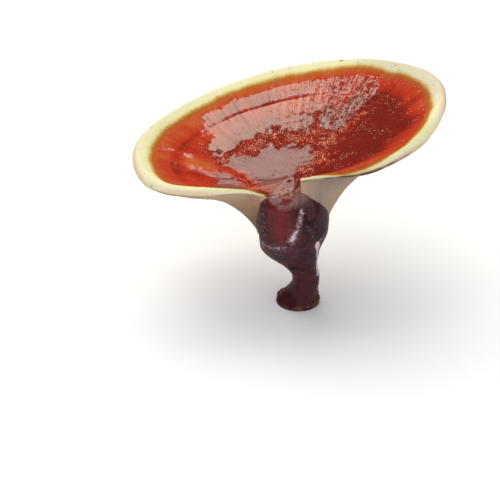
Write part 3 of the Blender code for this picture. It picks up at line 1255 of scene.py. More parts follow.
@dataclass
class Scatter:
    """Many small closed lumps that lie on the skin, joined in one mesh."""

    skin: Skin
    name: str = "scatter"
    node: Node = Node.CAP
    count: int = 1000
    radii: tuple[float, float] = (0.1, 0.2)
    seed: int = 1
    uneven: float = 0.22
    sunk: float = 0.25
    drift_cell: float = 5.0
    drift: Span = Span(-0.25, 0.55)

    def drifts(self) -> Array:
        """Loose drifts: noise behind a soft step, squared, for each point of the skin."""
        return self.drift.of(noise(self.skin.points, self.drift_cell, self.seed)) ** 2

    def on_stem(self) -> Array:
        """Which rows of the skin belong to the stem."""
        return np.arange(len(self.skin.points))[:, None] <= self.skin.crease_row

    def weights(self) -> Array:
        """How likely a lump is at each point of the skin."""
        raise NotImplementedError

    def seats(self, random: np.random.Generator) -> tuple[Array, Array]:
        """Draws places on the skin, each somewhere inside its grid cell.

        Args:
            random: where the draws come from.

        Returns:
            The places and the outward normals there.
        """
        points, normals = self.skin.points, self.skin.normals
        down, aside = np.roll(points, -1, axis=0) - points, np.roll(points, -1, axis=1) - points
        area = np.linalg.norm(np.cross(down, aside), axis=-1)
        chance = (self.weights() * area)[:-1]
        picked = random.choice(chance.size, self.count, p=chance.ravel() / chance.sum())
        row, column = np.unravel_index(picked, chance.shape)
        part = random.random((2, self.count, 1))
        places = points[row, column] + part[0] * down[row, column] + part[1] * aside[row, column]
        return places, normals[row, column]

    def build(self) -> bpy.types.Object:
        """Makes the lumps: each is the same solid, stretched, turned and sunk a little.

        Returns:
            The new object, riding on the body.
        """
        random = np.random.default_rng(self.seed)
        places, normals = self.seats(random)
        corners, faces = icosahedron()
        low, high = self.radii
        radius = low + (high - low) * random.random((self.count, 1)) ** 2
        stretch = radius * random.uniform(1.0 - self.uneven, 1.0 + self.uneven, (self.count, 3))
        turn = np.linalg.qr(random.normal(size=(self.count, 3, 3)))[0]
        turn *= np.sign(np.linalg.det(turn))[:, None, None]
        dents = random.uniform(1.0 - self.uneven, 1.0 + self.uneven, (self.count, len(corners), 1))
        lumps = np.einsum("nij,nkj->nki", turn, corners * stretch[:, None] * dents)
        centres = places + normals * radius * (1.0 - self.sunk)
        vertices = (lumps + centres[:, None]).reshape(-1, 3) * MM
        shift = np.arange(self.count)[:, None, None] * len(corners)
        mesh = mesh_from(self.name, vertices, [(faces + shift).reshape(-1, 3)])
        item = place_piece(mesh, self.name)
        return item


@dataclass
class SporeGlintGrains(Scatter):
    """Spore grains in the rough patches of the top and on its dark right side, whose pale tone is a
    painted glint.
    """

    name: str = "spore_glint_grains"
    count: int = 1150
    radii: tuple[float, float] = (0.10, 0.22)
    seed: int = 7
    uneven: float = 0.42
    sunk: float = 0.4
    inside: Span = Span(1.0, 4.0)
    slant: float = 0.75
    right: Span = Span(6.0, 16.0)
    far_place: Bell = Bell(36.0, 16.0)
    far_from: Span = Span(16.0, 30.0)
    shares: tuple[float, float, float] = (1.3, 0.30, 0.35)

    def weights(self) -> Array:
        """Drifts in the rough patches, on the right and at the far right of the top.

        Returns:
            A weight for each point.
        """
        masks = self.skin.masks
        x, y = self.skin.points[..., 0], self.skin.points[..., 1]
        on_top = ~self.on_stem() * self.inside.of(masks[Mask.EDGE])
        right = self.right.of(x - self.slant * y) * masks[Mask.RIPE]
        far = self.far_place.of(x) * self.far_from.of(y)
        parts = zip(self.shares, (masks[Mask.ROUGH], right, far))
        return on_top * self.drifts() * sum(share * part for share, part in parts)


@dataclass
class SoilCrumbs(Scatter):
    """Crumbs of soil that cling to the stem near its foot."""

    name: str = "soil_crumbs"
    node: Node = Node.STEM
    count: int = 420
    radii: tuple[float, float] = (0.12, 0.48)
    seed: int = 9
    uneven: float = 0.3
    height: Span = Span(9.0, 1.0)
    lowest: float = 1.2

    def weights(self) -> Array:
        """Drifts that thin out upwards, clear of the cut foot.

        Returns:
            A weight for each point.
        """
        height = self.skin.points[..., 2]
        return self.on_stem() * self.drifts() * self.height.of(height) * (height > self.lowest)


class Value:
    """A socket of a node tree, which adds, subtracts and multiplies as a number does."""

    def __init__(self, tree: "Tree", socket: bpy.types.NodeSocket) -> None:
        """Keeps the tree and the socket."""
        self.tree, self.socket = tree, socket

    def __add__(self, other: Any) -> "Value":
        """The sum with a number or a value."""
        return self.tree.math("ADD", self, other)

    def __sub__(self, other: Any) -> "Value":
        """The difference from a number or a value."""
        return self.tree.math("SUBTRACT", self, other)

    def __rsub__(self, other: float) -> "Value":
        """The difference of a number from this value."""
        return self.tree.math("SUBTRACT", other, self)

    def __mul__(self, other: Any) -> "Value":
        """The product with a number or a value."""
        return self.tree.math("MULTIPLY", self, other)


@dataclass(frozen=True)
class Cloud:
    """A shader noise: its scale, its octaves, how strong the fine ones are, and a stretch."""

    scale: float
    detail: float = 2.0
    rough: float = 0.5
    stretch: tuple[float, float, float] | None = None


class Tree:
    """Adds and joins the nodes of one node tree."""

    spokes_fade = Span(0.010, 0.032)

    def __init__(self, tree: bpy.types.NodeTree) -> None:
        """Keeps the tree."""
        self.tree = tree

    def feed(self, socket: bpy.types.NodeSocket, value: Any) -> None:
        """Joins a value to a socket, or sets the socket to a constant.

        Args:
            socket: the input that is fed.
            value: a value, a number, a vector, or a colour with or without its alpha.
        """
        if isinstance(value, Value):
            self.tree.links.new(value.socket, socket)
        elif socket.type == "RGBA":
            socket.default_value = (*value[:3], 1.0)
        else:
            socket.default_value = value

    def add(self, kind: str, inputs: dict[Any, Any] | None = None, **settings: Any) -> bpy.types.Node:
        """Adds a node.

        Args:
            kind: the node's type, without its leading ShaderNode.
            inputs: a constant, or a value to join, for each input.
            settings: the node's own settings.

        Returns:
            The node.
        """
        node = self.tree.nodes.new("ShaderNode" + kind)
        for key, setting in settings.items():
            setattr(node, key, setting)
        for key, value in (inputs or {}).items():
            self.feed(node.inputs[key], value)
        return node

    def read(self, node: bpy.types.Node, output: Any = 0) -> Value:
        """One of a node's outputs as a value."""
        return Value(self, node.outputs[output])

    def math(self, operation: str, first: Any, second: Any) -> Value:
        """The result of a sum of two numbers or values."""
        return self.read(self.add("Math", {0: first, 1: second}, operation=operation))

    def span(self, value: Value, span: Span, start: float = 0.0, end: float = 1.0) -> Value:
        """Carries a value smoothly from one span to another.

        Args:
            value: what is carried.
            span: where it comes from, and where it is held at both ends.
            start: the result at the span's start.
            end: the result at its end.

        Returns:
            The result.
        """
        limits = {"From Min": span.start, "From Max": span.end, "To Min": start, "To Max": end}
        node = self.add("MapRange", {"Value": value} | limits, interpolation_type="SMOOTHSTEP")
        return self.read(node, "Result")

    def mix(self, share: Any, first: Any, second: Any, way: str = "MIX") -> Value:
        """Mixes two colours.

        Args:
            share: how much there is of the second.
            first: the first colour.
            second: the second colour.
            way: the node's blend type.

        Returns:
            The mixed colour.
        """
        inputs = dict(zip((MIX_SHARE, *MIX_COLOURS), (share, first, second)))
        node = self.add("Mix", inputs, data_type="RGBA", blend_type=way)
        return self.read(node, MIX_COLOUR_RESULT)

    def blend(self, share: Value, first: Any, second: Any) -> Value:
        """Mixes two numbers by a share."""
        inputs = dict(zip((MIX_SHARE, *MIX_NUMBERS), (share, first, second)))
        return self.read(self.add("Mix", inputs))

    def ramp(self, value: Value, stops: Stops) -> Value:
        """A colour read from stops along 0 to 1.

        Args:
            value: where it is read.
            stops: places, in rising order, and their colours.

        Returns:
            The colour.
        """
        node = self.add("ValToRGB", {"Fac": value})
        elements = node.color_ramp.elements
        while len(elements) < len(stops):
            elements.new(0.5)
        for element, (place, colour) in zip(elements, stops):
            element.position = place
            element.color = (*colour, 1.0)
        return self.read(node, "Color")

    def stretched(self, vector: Value, stretch: tuple[float, float, float]) -> Value:
        """A vector whose parts are multiplied by three numbers."""
        return self.read(self.add("VectorMath", {0: vector, 1: stretch}, operation="MULTIPLY"))

    def noise(self, vector: Value, cloud: Cloud) -> Value:
        """Noise from 0 to 1.

        Args:
            vector: what it is spread over.
            cloud: which noise.

        Returns:
            The noise.
        """
        if cloud.stretch is not None:
            vector = self.stretched(vector, cloud.stretch)
        inputs = {"Scale": cloud.scale, "Detail": cloud.detail, "Roughness": cloud.rough}
        return self.read(self.add("TexNoise", {"Vector": vector} | inputs), "Fac")

    def distance(self, place: Value, centre: Array) -> Value:
        """The distance from a place to a fixed point.

        Args:
            place: the place, in metres.
            centre: the point, in millimetres.

        Returns:
            The distance in metres.
        """
        point = tuple(float(part) for part in centre * MM)
        node = self.add("VectorMath", {0: place, 1: point}, operation="DISTANCE")
        return self.read(node, "Value")

    def away_from_hub(self, place: Value) -> Value:
        """How far a place is from the hub, where patterns of spokes would crowd.

        Args:
            place: the place, in metres.

        Returns:
            0 at the hub, rising to 1 further out.
        """
        hub = Hub()
        middle = np.array([hub.x, hub.y, hub.height])
        return self.span(self.distance(place, middle), self.spokes_fade)

    def parts(self, vector: Value) -> tuple[Value, Value]:
        """A vector's first two parts."""
        node = self.add("SeparateXYZ", {0: vector})
        return self.read(node, "X"), self.read(node, "Y")

    def attribute(self, mask: Mask) -> Value:
        """One of the skin's masks."""
        node = self.add("Attribute", attribute_name=mask.value)
        return self.read(node, "Vector" if mask is Mask.POLAR else "Fac")

    def group(self, effect: "Effect", inputs: dict[str, Any]) -> dict[str, Value]:
        """Places an effect's node group with its own values.

        Args:
            effect: the effect.
            inputs: a value or a number for each of its inputs.

        Returns:
            Its results by name.
        """
        node = self.add("Group", node_tree=effect.tree())
        for name, value in inputs.items():
            self.feed(node.inputs[name], value)
        return {name: self.read(node, name) for name in effect.gives}


class Kind(Enum):
    """The kinds of socket that a node group has."""

    NUMBER = "NodeSocketFloat"
    COLOUR = "NodeSocketColor"
    VECTOR = "NodeSocketVector"


class Effect:
    """A node group: an effect that several materials use."""

    name = "effect"
    takes: dict[str, Kind] = {}
    gives: dict[str, Kind] = {}

    def tree(self) -> bpy.types.NodeTree:
        """The group, built the first time that it is asked for.

        Returns:
            The node group.
        """
        made = bpy.data.node_groups.get(self.name)
        if made is not None:
            return made
        made = bpy.data.node_groups.new(self.name, "ShaderNodeTree")
        for name, kind in self.takes.items():
            made.interface.new_socket(name=name, in_out="INPUT", socket_type=kind.value)
        for name, kind in self.gives.items():
            made.interface.new_socket(name=name, in_out="OUTPUT", socket_type=kind.value)
        inside = made.nodes.new("NodeGroupInput")
        outside = made.nodes.new("NodeGroupOutput")
        tree = Tree(made)
        inputs = {name: tree.read(inside, name) for name in self.takes}
        for name, value in self.build(tree, inputs).items():
            tree.feed(outside.inputs[name], value)
        return made

    def build(self, tree: Tree, inputs: dict[str, Value]) -> dict[str, Value]:
        """Builds the inside of the group and returns its results by name."""
        raise NotImplementedError


class GrowthColour(Effect):
    """Lacquer and margin colours, from cream through gold and orange to deep red."""

    name = "growth_colour"
    takes = {"Edge": Kind.NUMBER, "Ripe": Kind.NUMBER, "Polar": Kind.VECTOR, "Place": Kind.VECTOR}
    gives = {"Color": Kind.COLOUR}
    streaks = Cloud(1.0, 4.0, 0.62, (34.0, 34.0, 2.0))
    clouds = Cloud(120.0, 4.0, 0.6)
    cloud_shift = 2.2
    streak_shift = 1.6
    margin_edges = Span(-9.0, 4.0)
    margin_stops: Stops = (
        (0.0, (0.76, 0.61, 0.42)),
        (0.08, (0.80, 0.73, 0.52)),
        (0.30, (0.79, 0.74, 0.49)),
        (0.52, (0.75, 0.73, 0.46)),
        (0.63, (0.70, 0.62, 0.32)),
        (0.71, (0.60, 0.40, 0.11)),
        (0.79, (0.49, 0.22, 0.045)),
        (0.87, (0.41, 0.115, 0.022)),
        (1.0, (0.47, 0.085, 0.018)),
    )
    green = Cloud(45.0, 3.0)
    green_from = Span(0.42, 0.62)
    green_share = 0.55
    green_tint = (0.90, 0.98, 0.86)
    corner_x = Span(0.015, 0.050)
    corner_y = Span(-0.005, 0.025)
    corner_share = 0.8
    corner_tint = (0.74, 0.71, 0.86)
    far_left_x = Span(-0.040, -0.062)
    far_left_y = Span(-0.022, -0.008)
    far_left_tint = (0.91, 0.91, 0.92)
    freckles = Cloud(620.0, 2.0, 0.65)
    freckle_from = Span(0.69, 0.77)
    freckle_share = 0.75
    freckle = (0.30, 0.20, 0.10)
    ripe_streaks = 0.7
    ripe_clouds = Span(0.3, 0.7)
    ripe_cloud_size = 0.08
    ripe_stops: Stops = (
        (0.0, (0.47, 0.094, 0.022)),
        (0.25, (0.42, 0.048, 0.013)),
        (0.50, (0.40, 0.026, 0.008)),
        (0.75, (0.25, 0.014, 0.005)),
        (1.0, (0.15, 0.008, 0.004)),
    )
    lacquer_from = Span(1.2, 4.2)

    def build(self, tree: Tree, inputs: dict[str, Value]) -> dict[str, Value]:
        """Reads the edge in a ramp across the margin, and the ripeness in one over the top.

        The margin is then tinted green in clouds, greyer at its far right corner and darker at
        the far left, and strewn with brown freckles.

        Args:
            tree: the group's nodes.
            inputs: the group's inputs.

        Returns:
            The colour.
        """
        place = inputs["Place"]
        streak = tree.noise(inputs["Polar"], self.streaks) - HALF
        streak = streak * tree.away_from_hub(place)
        cloud = tree.noise(place, self.clouds)
        shift = (cloud - HALF) * self.cloud_shift + streak * self.streak_shift
        edge = inputs["Edge"] + shift
        margin = tree.ramp(tree.span(edge, self.margin_edges), self.margin_stops)
        green = tree.span(tree.noise(place, self.green), self.green_from, 0.0, self.green_share)
        margin = tree.mix(green, margin, self.green_tint, "MULTIPLY")
        x, y = tree.parts(place)
        corner = tree.span(x, self.corner_x) * tree.span(y, self.corner_y) * self.corner_share
        margin = tree.mix(corner, margin, self.corner_tint, "MULTIPLY")
        far_left = tree.span(x, self.far_left_x) * tree.span(y, self.far_left_y)
        margin = tree.mix(far_left, margin, self.far_left_tint, "MULTIPLY")
        specks = tree.noise(place, self.freckles)
        margin = tree.mix(
            tree.span(specks, self.freckle_from, 0.0, self.freckle_share), margin, self.freckle
        )
        size = self.ripe_cloud_size
        ripe = inputs["Ripe"] + streak * self.ripe_streaks
        ripe = ripe + tree.span(cloud, self.ripe_clouds, -size, size)
        top = tree.ramp(ripe, self.ripe_stops)
        return {"Color": tree.mix(tree.span(edge, self.lacquer_from), margin, top)}


class EdgeNicks(Effect):
    """Small dark nicks in the pale edge, each a place and a radius in millimetres."""

    name = "edge_nicks"
    takes = {"Place": Kind.VECTOR}
    gives = {"Share": Kind.NUMBER}
    places: Table = (
        (-69.3, 23.2, 80.3, 0.55), (-68.9, 22.0, 80.0, 0.40), (-67.1, -19.9, 70.4, 0.55),
        (-66.6, -20.6, 70.0, 0.45), (-64.6, -20.4, 67.7, 0.50), (-12.3, 52.4, 97.2, 0.45),
        (20.7, 51.7, 103.2, 0.60), (21.8, 51.6, 103.3, 0.50), (28.7, 49.2, 103.2, 0.50),
        (47.5, -17.7, 92.8, 0.45),
    )
    uneven = Cloud(1300.0)
    unevenness = 0.0009
    rim = Span(1.9, 0.9)

    def build(self, tree: Tree, inputs: dict[str, Value]) -> dict[str, Value]:
        """Takes the strongest of a soft ball round each place, made uneven by noise.

        Args:
            tree: the group's nodes.
            inputs: the group's inputs.

        Returns:
            The nicks' share.
        """
        uneven = tree.noise(inputs["Place"], self.uneven) * self.unevenness
        total: Any = 0.0
        for row in np.array(self.places):
            gap = tree.distance(inputs["Place"], row[:3]) + uneven
            radius = float(row[3]) * MM
            ball = tree.span(gap, Span(self.rim.start * radius, self.rim.end * radius))
            total = tree.math("MAXIMUM", total, ball)
        return {"Share": total}


class FleshColour(Effect):
    """The pale matt underside: fine rings round the stem, tan towards it, and tiny pores."""

    name = "flesh_colour"
    takes = {"Zone": Kind.NUMBER, "Polar": Kind.VECTOR, "Place": Kind.VECTOR}
    gives = {"Color": Kind.COLOUR, "Height": Kind.NUMBER}
    rings = Cloud(1.0, stretch=(2.0, 2.0, 38.0))
    right = Span(0.0, 0.9)
    near_left, near_right = (0.215, 0.115, 0.070), (0.45, 0.33, 0.26)
    far_left, far_right = (0.50, 0.33, 0.20), (0.25, 0.205, 0.175)
    outwards = Span(0.30, 0.85)
    ring_from = Span(0.30, 0.75)
    ring_share = 0.30
    ring_tone = (0.34, 0.21, 0.13)
    clouds = Cloud(60.0, 4.0, 0.6)
    cloud_from = Span(0.42, 0.72)
    cloud_share = 0.45
    cloud_tone = (0.38, 0.24, 0.15)
    faint = Cloud(24.0)
    faint_from = Span(0.35, 0.65)
    faint_share = 0.22
    faint_tone = (0.62, 0.50, 0.38)
    pore_scale = 4200.0
    pore_walls = Span(0.10, 0.50)
    pore_depth = 0.22
    ring_depth = 0.7

    def build(self, tree: Tree, inputs: dict[str, Value]) -> dict[str, Value]:
        """Mixes the flesh's tans by the place, the rings and noise, and sinks fine cells.

        Args:
            tree: the group's nodes.
            inputs: the group's inputs.

        Returns:
            The colour and the height for a bump.
        """
        place = inputs["Place"]
        rings = tree.noise(inputs["Polar"], self.rings)
        right = tree.span(tree.parts(inputs["Polar"])[0], self.right)
        near = tree.mix(right, self.near_left, self.near_right)
        far = tree.mix(right, self.far_left, self.far_right)
        colour = tree.mix(tree.span(inputs["Zone"], self.outwards), near, far)
        lines = tree.span(rings, self.ring_from, 0.0, self.ring_share)
        colour = tree.mix(lines, colour, self.ring_tone)
        clouds = tree.span(tree.noise(place, self.clouds), self.cloud_from, 0.0, self.cloud_share)
        colour = tree.mix(clouds, colour, self.cloud_tone)
        faint = tree.span(tree.noise(place, self.faint), self.faint_from, 0.0, self.faint_share)
        colour = tree.mix(faint, colour, self.faint_tone)
        cells = tree.add("TexVoronoi", {"Vector": place, "Scale": self.pore_scale})
        walls = tree.span(tree.read(cells, "Distance"), self.pore_walls)
        return {"Color": colour, "Height": walls * self.pore_depth + rings * self.ring_depth}


class LacquerGrain(Effect):
    """Fine unevenness of the lacquer: it breaks the edges of the glossy and the rough patches
    into streaks and grains, and roughens both. The grit's palest specks are painted glints."""

    name = "lacquer_grain"
    takes = {
        "Place": Kind.VECTOR, "Polar": Kind.VECTOR, "Rough": Kind.NUMBER, "Gloss": Kind.NUMBER,
        "Spokes": Kind.NUMBER,
    }
    gives = {
        "Height": Kind.NUMBER, "Rough": Kind.NUMBER, "Gloss": Kind.NUMBER, "Roughness": Kind.NUMBER,
        "GritGlints": Kind.COLOUR,
    }
    fine = Cloud(1400.0, 2.0, 0.6)
    middle = Cloud(460.0, 3.0, 0.6)
    spokes = Cloud(1.0, 3.0, 0.6, (70.0, 70.0, 5.0))
    fine_tear, middle_tear = 1.7, 1.6
    rough_tear, gloss_tear = 1.1, 1.05
    rough_from = Span(0.36, 0.70)
    gloss_from = Span(0.30, 0.74)
    wear = 0.85
    spoke_dimming = Span(-0.25, 0.25)
    spoke_least = 0.72
    drift = Cloud(210.0)
    drift_size = 0.45
    grit = Cloud(2000.0, 1.0)
    # The grit's dark reds end in pale gold specks, which are painted glints.
    grit_glint_stops: Stops = (
        (0.30, (0.045, 0.004, 0.003)),
        (0.43, (0.20, 0.009, 0.005)),
        (0.58, (0.36, 0.022, 0.009)),
        (0.66, (0.50, 0.12, 0.06)),
        (0.73, (0.95, 0.66, 0.46)),
    )
    spoke_height, middle_height, grit_height = 0.30, 0.22, 1.4
    matt_roughness = 0.28
    gloss_roughness = Span(0.20, 0.32)
    roughness_from = Span(0.3, 0.7)

    def build(self, tree: Tree, inputs: dict[str, Value]) -> dict[str, Value]:
        """Adds noise to each mask before a steep step.

        Args:
            tree: the group's nodes.
            inputs: the group's inputs.

        Returns:
            The height for a bump, the two masks, the roughness and the grit's colour with its painted
            glints.
        """
        place = inputs["Place"]
        middle_noise = tree.noise(place, self.middle)
        fine, middle = tree.noise(place, self.fine) - HALF, middle_noise - HALF
        spokes = (tree.noise(inputs["Polar"], self.spokes) - HALF) * inputs["Spokes"]
        spokes = spokes * tree.away_from_hub(place)
        torn = fine * self.fine_tear + middle * self.middle_tear
        rough = tree.span(inputs["Rough"] + torn * self.rough_tear, self.rough_from)
        frayed = torn * self.gloss_tear * inputs["Spokes"] + spokes
        gloss = tree.span(inputs["Gloss"] + frayed, self.gloss_from)
        gloss = gloss * (1.0 - rough * self.wear)
        gloss = gloss * tree.span(spokes, self.spoke_dimming, self.spoke_least, 1.0)
        drift = (tree.noise(place, self.drift) - HALF) * self.drift_size
        # the grit's colour, with painted glints
        grit = tree.ramp(tree.noise(place, self.grit) + drift, self.grit_glint_stops)
        height = middle * self.middle_height + spokes * self.spoke_height
        height = height + fine * rough * self.grit_height
        ends = self.gloss_roughness
        uneven = tree.span(middle_noise, self.roughness_from, ends.start, ends.end)
        roughness = (1.0 - gloss) * self.matt_roughness + uneven
        return {"Height": height, "Rough": rough, "Gloss": gloss, "Roughness": roughness, "GritGlints": grit}


class StemColour(Effect):
    """The stem's near-black purple lacquer, with its dark red front, painted reflections and painted
    glints, and wrinkles.
    """

    name = "stem_colour"
    takes = {"Place": Kind.VECTOR, "Blush": Kind.NUMBER, "PaintedReflection": Kind.NUMBER, "Rough": Kind.NUMBER}
    gives = {"Color": Kind.COLOUR, "Height": Kind.NUMBER, "PaintedReflection": Kind.NUMBER}
    clouds = Cloud(95.0, 4.0, 0.62)
    cloud_from = Span(0.35, 0.68)
    darker, lighter = (0.017, 0.004, 0.007), (0.064, 0.014, 0.022)
    blush_from = Span(0.15, 0.6)
    blush_least = 0.65
    blush = (0.140, 0.013, 0.013)
    fine = Cloud(800.0, 3.0, 0.6)
    tearing = 1.6
    # Painted reflections on the stem: a lilac haze with a paler core.
    reflection_from = Span(0.28, 1.0)
    reflection_haze_share = 0.8
    reflection_haze = (0.32, 0.22, 0.26)
    reflection_core_from = Span(0.55, 1.0)
    reflection_core = (0.62, 0.50, 0.57)
    # Painted glints: fine pale specks on the stem, more in its rough patches.
    painted_glints = Cloud(1700.0, 1.0)
    rough_glints = 0.17
    glint_from = Span(0.76, 0.83)
    glint_share = 0.8
    glint_colour = (0.62, 0.50, 0.55)
    wrinkles = Cloud(1.0, 3.0, stretch=(60.0, 60.0, 520.0))

    def build(self, tree: Tree, inputs: dict[str, Value]) -> dict[str, Value]:
        """Mixes the dark tones by noise, and the red, the painted lilac reflections and the painted
        glints by their masks.

        Args:
            tree: the group's nodes.
            inputs: the group's inputs.

        Returns:
            The colour, the height for a bump and the painted reflection's share.
        """
        place = inputs["Place"]
        cloud = tree.noise(place, self.clouds)
        colour = tree.mix(tree.span(cloud, self.cloud_from), self.darker, self.lighter)
        share = inputs["Blush"] * tree.span(cloud, self.blush_from, self.blush_least, 1.0)
        colour = tree.mix(share, colour, self.blush)
        torn = (tree.noise(place, self.fine) - HALF) + (cloud - HALF)
        # the painted reflection, torn by noise
        bloom = tree.span(inputs["PaintedReflection"] + torn * self.tearing, self.reflection_from)
        colour = tree.mix(bloom * self.reflection_haze_share, colour, self.reflection_haze)
        colour = tree.mix(tree.span(bloom, self.reflection_core_from), colour, self.reflection_core)
        # painted glints
        painted_glints = tree.noise(place, self.painted_glints) + inputs["Rough"] * self.rough_glints
        painted_glints = tree.span(painted_glints, self.glint_from, 0.0, self.glint_share)
        colour = tree.mix(painted_glints, colour, self.glint_colour)
        return {"Color": colour, "Height": tree.noise(place, self.wrinkles), "PaintedReflection": bloom}


class SoilDust(Effect):
    """Dry brown soil that clings near the foot, in patches."""

    name = "soil_dust"
    takes = {"Place": Kind.VECTOR, "Amount": Kind.NUMBER}
    gives = {"Share": Kind.NUMBER, "Color": Kind.COLOUR, "Height": Kind.NUMBER}
    patches = Cloud(330.0, 4.0, 0.7)
    patch_from = Span(0.95, 1.35)
    most = 0.9
    darker, lighter = (0.10, 0.045, 0.025), (0.26, 0.13, 0.075)

    def build(self, tree: Tree, inputs: dict[str, Value]) -> dict[str, Value]:
        """Breaks the amount up by noise.

        Args:
            tree: the group's nodes.
            inputs: the group's inputs.

        Returns:
            The soil's share, its colour and its height for a bump.
        """
        patch = tree.noise(inputs["Place"], self.patches)
        share = tree.span(inputs["Amount"] + patch, self.patch_from, 0.0, self.most)
        colour = tree.mix(patch, self.darker, self.lighter)
        return {"Share": share, "Color": colour, "Height": patch * share}


def new_material(name: str) -> tuple[bpy.types.Material, Tree, bpy.types.Node, Value]:
    """Starts a material.

    Args:
        name: its name.

    Returns:
        The material, its tree, its shader and the object coordinates.
    """
    material = bpy.data.materials.new(name)
    material.use_nodes = True
    tree = Tree(material.node_tree)
    shader = material.node_tree.nodes["Principled BSDF"]
    return material, tree, shader, tree.read(tree.add("TexCoord"), "Object")


@dataclass(frozen=True)
class SkinFinish:
    """The mushroom's skin: clear lacquer on the top and the stem, matt flesh elsewhere."""

    name: str
    # Painted shadow colour under the rim.
    lip: Colour = (0.12, 0.036, 0.013)
    lip_shadow_share: float = 0.97
    mark: Colour = (0.045, 0.014, 0.010)
    mark_share: float = 0.9
    # Painted pinkish reflection on the open channel.
    channel_reflection: Colour = (0.40, 0.19, 0.15)
    channel_reflection_share: float = 0.85
    stem_spokes: float = 0.12
    flesh_roughness: float = 0.72
    coat_roughness: float = 0.19
    coat_ior: float = 2.0
    body_specular: float = 0.03
    bump_height: float = 0.00035

    def material(self) -> bpy.types.Material:
        """Builds the material from the skin's masks and the shared effects.

        Returns:
            The material.
        """
        material, tree, shader, place = new_material(self.name)
        read = {mask: tree.attribute(mask) for mask in Mask}
        dark, under, sheen = read[Mask.DARK], read[Mask.UNDER], read[Mask.SHEEN]
        shared = {"Polar": read[Mask.POLAR], "Place": place}
        growth = tree.group(
            GrowthColour(), shared | {"Edge": read[Mask.EDGE], "Ripe": read[Mask.RIPE]}
        )
        flesh = tree.group(FleshColour(), shared | {"Zone": read[Mask.ZONE]})
        grain = tree.group(LacquerGrain(), shared | {
            "Rough": read[Mask.ROUGH], "Gloss": read[Mask.GLOSS],
            "Spokes": tree.span(dark, Span(0.0, 1.0), 1.0, self.stem_spokes),
        })
        nicks = tree.group(EdgeNicks(), {"Place": place})["Share"]
        stem = tree.group(StemColour(), {
            "Place": place, "Blush": read[Mask.BLUSH], "PaintedReflection": read[Mask.BLOOM],
            "Rough": read[Mask.ROUGH],
        })
        soil = tree.group(SoilDust(), {"Place": place, "Amount": read[Mask.SOIL]})
        # the rough patches take the grit's colour, with its painted glints
        colour = tree.mix(grain["Rough"], growth["Color"], grain["GritGlints"])
        colour = tree.mix(under, colour, flesh["Color"])
        # Painted shade under the rim.
        colour = tree.mix(read[Mask.LIP_SHADOW] * self.lip_shadow_share, colour, self.lip)
        marks = tree.math("MAXIMUM", read[Mask.PIT], nicks) * self.mark_share
        colour = tree.mix(marks, colour, self.mark)
        # Painted reflection: pinkish on the channel, and on the stem through the stem's own colour.
        colour = tree.mix(stem["PaintedReflection"] * self.channel_reflection_share, colour, self.channel_reflection)
        colour = tree.mix(dark, colour, stem["Color"])
        colour = tree.mix(soil["Share"], colour, soil["Color"])
        # No lacquer coat where a reflection is painted, on soil or on the pale margin.
        clean = (1.0 - soil["Share"]) * (1.0 - stem["PaintedReflection"]) * sheen
        roughness = tree.blend(clean, self.flesh_roughness, grain["Roughness"])
        height = grain["Height"] * sheen + flesh["Height"] * under + stem["Height"] * dark
        height = height + soil["Height"] - nicks
        bump = tree.add("Bump", {"Strength": 1.0, "Distance": self.bump_height, "Height": height})
        for socket, value in {
            "Base Color": colour,
            "Roughness": roughness,
            "Coat Weight": clean * grain["Gloss"],
            "Normal": tree.read(bump, "Normal"),
            "Coat Roughness": self.coat_roughness,
            "Coat IOR": self.coat_ior,
            "Specular IOR Level": self.body_specular,
        }.items():
            tree.feed(shader.inputs[socket], value)
        return material


@dataclass(frozen=True)
class GrainFinish:
    """Small grains, whose tone changes from one to the next."""

    name: str
    dark: Colour
    light: Colour
    roughness: float
    clouds: Cloud = Cloud(700.0, 3.0, 0.6)
    tones: Span = Span(0.3, 0.7)

    def material(self) -> bpy.types.Material:
        """Mixes the two tones by noise.

        Returns:
            The material.
        """
        material, tree, shader, place = new_material(self.name)
        tone = tree.span(tree.noise(place, self.clouds), self.tones)
        tree.feed(shader.inputs["Base Color"], tree.mix(tone, self.dark, self.light))
        tree.feed(shader.inputs["Roughness"], self.roughness)
        return material


@dataclass(frozen=True)
class SoftLight:
    """A rectangular soft box that points at the mushroom."""

    name: str
    azimuth: float
    elevation: float
    distance: float
    width: float
    height: float
    radiance: float
    target: tuple[float, float, float] = (0.0, 0.01, 0.08)
    colour: Colour = (1.0, 1.0, 1.0)

    def place(self) -> bpy.types.Object:
        """Hangs the light: azimuth turns from the back to the right, elevation lifts it.

        Returns:
            The light, whose power gives its face the stated radiance.
        """
        area = bpy.data.lights.new(self.name, "AREA")
        area.shape = "RECTANGLE"
        area.size, area.size_y = self.width, self.height
        area.energy = self.radiance * math.pi * self.width * self.height
        area.color = self.colour
        item = bpy.data.objects.new(self.name, area)
        turn, lift = math.radians(self.azimuth), math.radians(self.elevation)
        away = np.array([
            math.sin(turn) * math.cos(lift), math.cos(turn) * math.cos(lift), math.sin(lift)
        ])
        item.location = np.array(self.target) + self.distance * away
        item.rotation_euler = (math.pi / 2.0 - lift, 0.0, math.pi - turn)
        bpy.context.scene.collection.objects.link(item)
        return item


